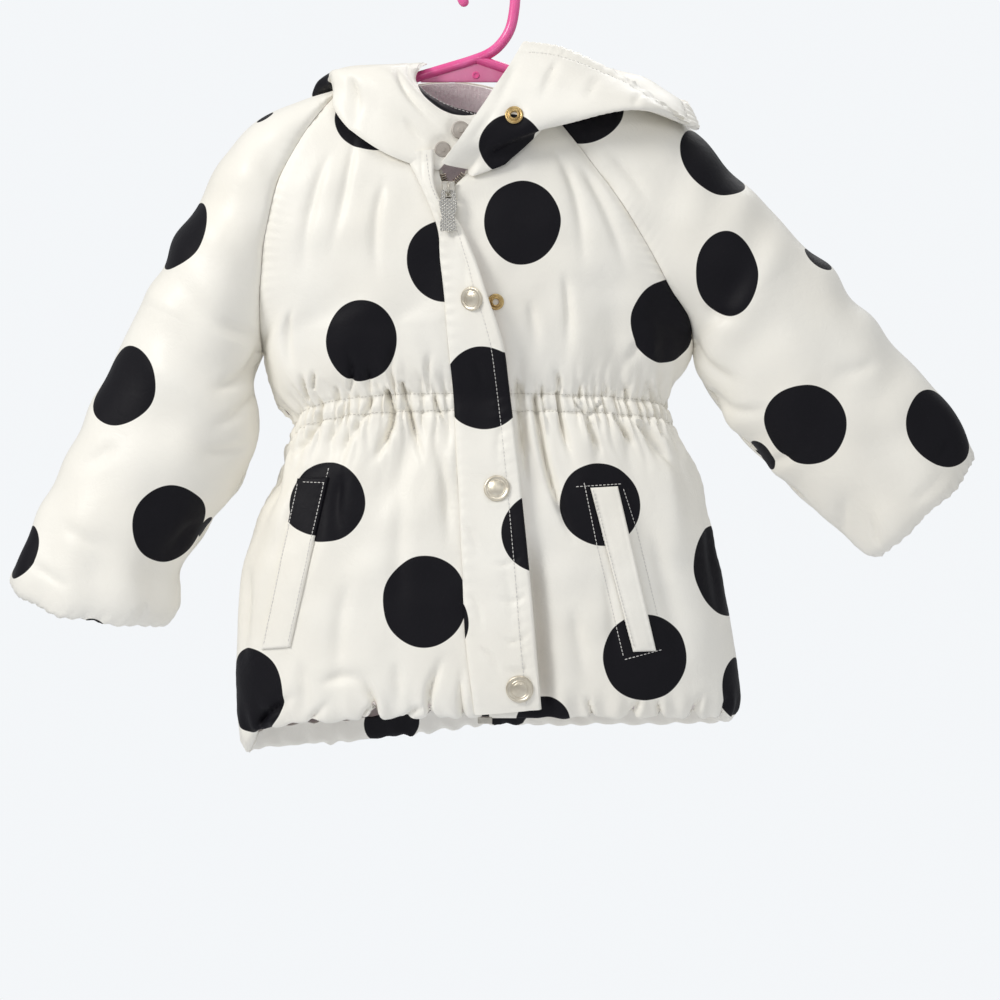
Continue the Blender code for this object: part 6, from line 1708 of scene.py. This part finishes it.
middle = (panels["front_right"]["base"][:, -1] + panels["front_left"]["base"][:, 0]) / 2
height = middle[:, 2]
closed = (height > ZIP_BOTTOM[1] + 2) & (height < ZIP_TOP[1] + 2) & (places > ZIP_START_PLACE)
closed = even_line(middle[closed], 1.25)
across, up = across_line(closed)
turns = np.where(np.arange(len(closed)) % 2 == 0, 1.0, -1.0)[:, None]
made["zip_teeth"] = beads("zip_teeth_closed", closed + 1.05 * turns * across + np.array([0.0, 1.0, 0.0]),
                          across, up, (1.75, 0.56, 1.0), bronze, 8)
open_teeth = []
for side, step, column in (("right", 1.0, -1), ("left", -1.0, 0)):
    line = panels["front_" + side]["base"][:, column]
    line = line[(line[:, 2] > ZIP_TOP[1] + 8) & (line[:, 2] < ZIP_OPEN_END)]
    line = even_line(line, 1.9) + np.array([step * 2.3, 1.2, 0.0])
    open_teeth.append(beads("zip_teeth_open_" + side, line, *across_line(line), (2.3, 0.68, 1.1), bronze, 8))


# ---------------------------------------------------------------- snaps

snaps = []
under = {"cap": (flap_outer, flap_normal), "front": (panels["front_left"]["outer"], panels["front_left"]["normal"]),
         "socket": (hoods["left"]["outer"], hoods["left"]["normal"]),
         "back": (hoods["right"]["outer"], hoods["right"]["normal"])}
for name, kind, finish, x, y, z, facing, scale in SNAPS:
    grid, normal = under["front" if name.endswith("front") else kind]
    place, facing = np.array([x, y, z]), np.array(facing)
    away = np.linalg.norm(grid - place, axis=2)
    share = np.exp(-(away / 5.0) ** 2)[..., None]
    seat = grid[np.unravel_index(away.argmin(), away.shape)]
    if kind != "cap":
        tilt = unit((share * normal).sum(axis=(0, 1)) / share.sum())
        facing = tilt * np.sign(tilt @ facing)
    lift = max(0.0, float((seat - place) @ facing))
    snaps.append((turned(name + "_metal", np.array(SNAP_PROFILES[kind]) * scale,
                         place + (lift - 0.1) * facing, facing, finishes[finish]), finish, name))


# ---------------------------------------------------------------- hanger

def upright(points):
    """Points of x and z set into the hanger's plane."""
    return np.stack([points[:, 0], 0 * points[:, 0], points[:, 1]], axis=1)


pink = plastic("pink plastic", (0.84, 0.10, 0.33, 1), (0.90, 0.17, 0.43, 1))
thin_pink = plastic("thin pink plastic", (0.80, 0.20, 0.40, 1), (0.86, 0.30, 0.50, 1))
turn = np.radians(np.linspace(0, HOOK_SWEEP, 80))
hook_middle = RIM_WIRE - HOOK_RADIUS
hook = np.stack([HOOK_RADIUS * np.cos(turn), 0 * turn, hook_middle + HOOK_RADIUS * np.sin(turn)], axis=1)
stem = along(((HOOK_RADIUS, hook_middle),) + STEM_ROUTE + ARM_RIGHT, np.linspace(0, 9, 130))
route = np.concatenate([hook[::-1], upright(stem)[1:]])
rim = tube("hanger_rim", route, RIM_WIRE, pink)
arm_tube = tube("hanger_arm", upright(along(ARM_LEFT, np.linspace(0, 5, 90))), RIM_WIRE - 0.1, pink)
top_edge = np.array(WEB_TOP)
web_x = np.linspace(top_edge[0, 0] - 0.4, top_edge[-1, 0] - 1.5, 60)
top_z = np.interp(web_x, top_edge[:, 0], top_edge[:, 1]) + 0.4
low_z = np.minimum(WEB_LEVEL - 0.2, top_z - 0.4)
section = ring_angles(24)
u, v = (np.sign(wave) * np.abs(wave) ** 0.35 for wave in (np.sin(section), np.cos(section)))
ring = np.stack(np.broadcast_arrays(web_x[:, None], 1.45 * v,
                                    (top_z + low_z)[:, None] / 2 + (top_z - low_z)[:, None] / 2 * u), axis=-1)
web = capped_bar("hanger_web", ring, np.stack([ring[0].mean(axis=0), ring[-1].mean(axis=0)]), thin_pink, 40.0)
mark = turned("hanger_mark", MARK_PROFILE, (WEB_MARK[0], 0.0, WEB_MARK[1]), (0.0, -1.0, 0.0), pink)


# ---------------------------------------------------------------- bodies, hidden parts and the zip's metals

OTHER_SLOTS = {"neck_lining": "fleece", "zip_tape_right": "tape", "zip_tape_left": "tape", "zip_teeth": "nickel"}
shown = snaps + [(piece, "pink", "hanger") for piece in (rim, arm_tube, web, mark)]
shown += [(piece, OTHER_SLOTS.get(node, "satin"), node) for node, piece in made.items()]
shown += [(piece, "nickel", None) for piece in open_teeth] + [(piece, "satin", None) for piece in sewn]
for piece, slot, node in shown:
    if node:
        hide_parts(node)
    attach(piece, "coat")
for node, material in (("zip_slider", nickel), ("zip_pull", knurled), ("zip_box", nickel)):
    kept = bpy.data.objects[node]
    kept.data.materials.clear()
    kept.data.materials.append(material)


# ---------------------------------------------------------------- camera, light and backdrop

def add_to_scene(name, data, place):
    added = bpy.data.objects.new(name, data)
    added.location = place
    scene.collection.objects.link(added)
    return added


scene = bpy.context.scene
camera = add_to_scene("camera", bpy.data.cameras.new("camera"), CAMERA_PLACE)
camera.rotation_euler = (math.pi / 2, 0, 0)
camera.data.lens = CAMERA_LENS
camera.data.sensor_width = 36.0
camera.data.clip_end = 20.0
scene.camera = camera
for name, place, aim, size, power, tint in LAMPS:
    data = bpy.data.lights.new(name, "AREA")
    data.shape = "DISK"
    data.size = size
    data.energy = power
    data.color = tint
    dx, dy, dz = np.array(aim) - np.array(place)
    added = add_to_scene(name, data, place)
    added.rotation_euler = (math.atan2(math.hypot(dx, dy), -dz), 0, math.atan2(dy, dx) - math.pi / 2)
world = bpy.data.worlds.new("studio")
world.use_nodes = True
sky = Sheet(world.node_tree)
seen = sky.add("ShaderNodeLightPath").outputs["Is Camera Ray"]
tint = sky.blend(seen, (0.46, 0.47, 0.485, 1), (0.905, 0.925, 0.945, 1))
sky.feed(world.node_tree.nodes["Background"], {"Color": tint})
scene.world = world
scene.view_settings.view_transform = "Standard"
scene.view_settings.look = "None"
scene.view_settings.exposure = 0.0

turn = ring_angles(96)
reach, drop = (np.array(v)[:, None] for v in FLOOR_PROFILE)
points = np.stack(np.broadcast_arrays(reach * np.cos(turn), reach * np.sin(turn), FLOOR_LEVEL + drop), axis=-1)
paper, s, shader = new_material("pale paper")
shade = s.noise(s.place(), 3.0)
s.feed(shader, {"Base Color": s.blend(shade, (0.83, 0.845, 0.875, 1), (0.86, 0.87, 0.895, 1)), "Roughness": 0.9})
mesh_object("floor", points.reshape(-1, 3), ring_faces(len(reach), len(turn))[:, ::-1], [paper], 60.0)

bpy.context.view_layer.update()
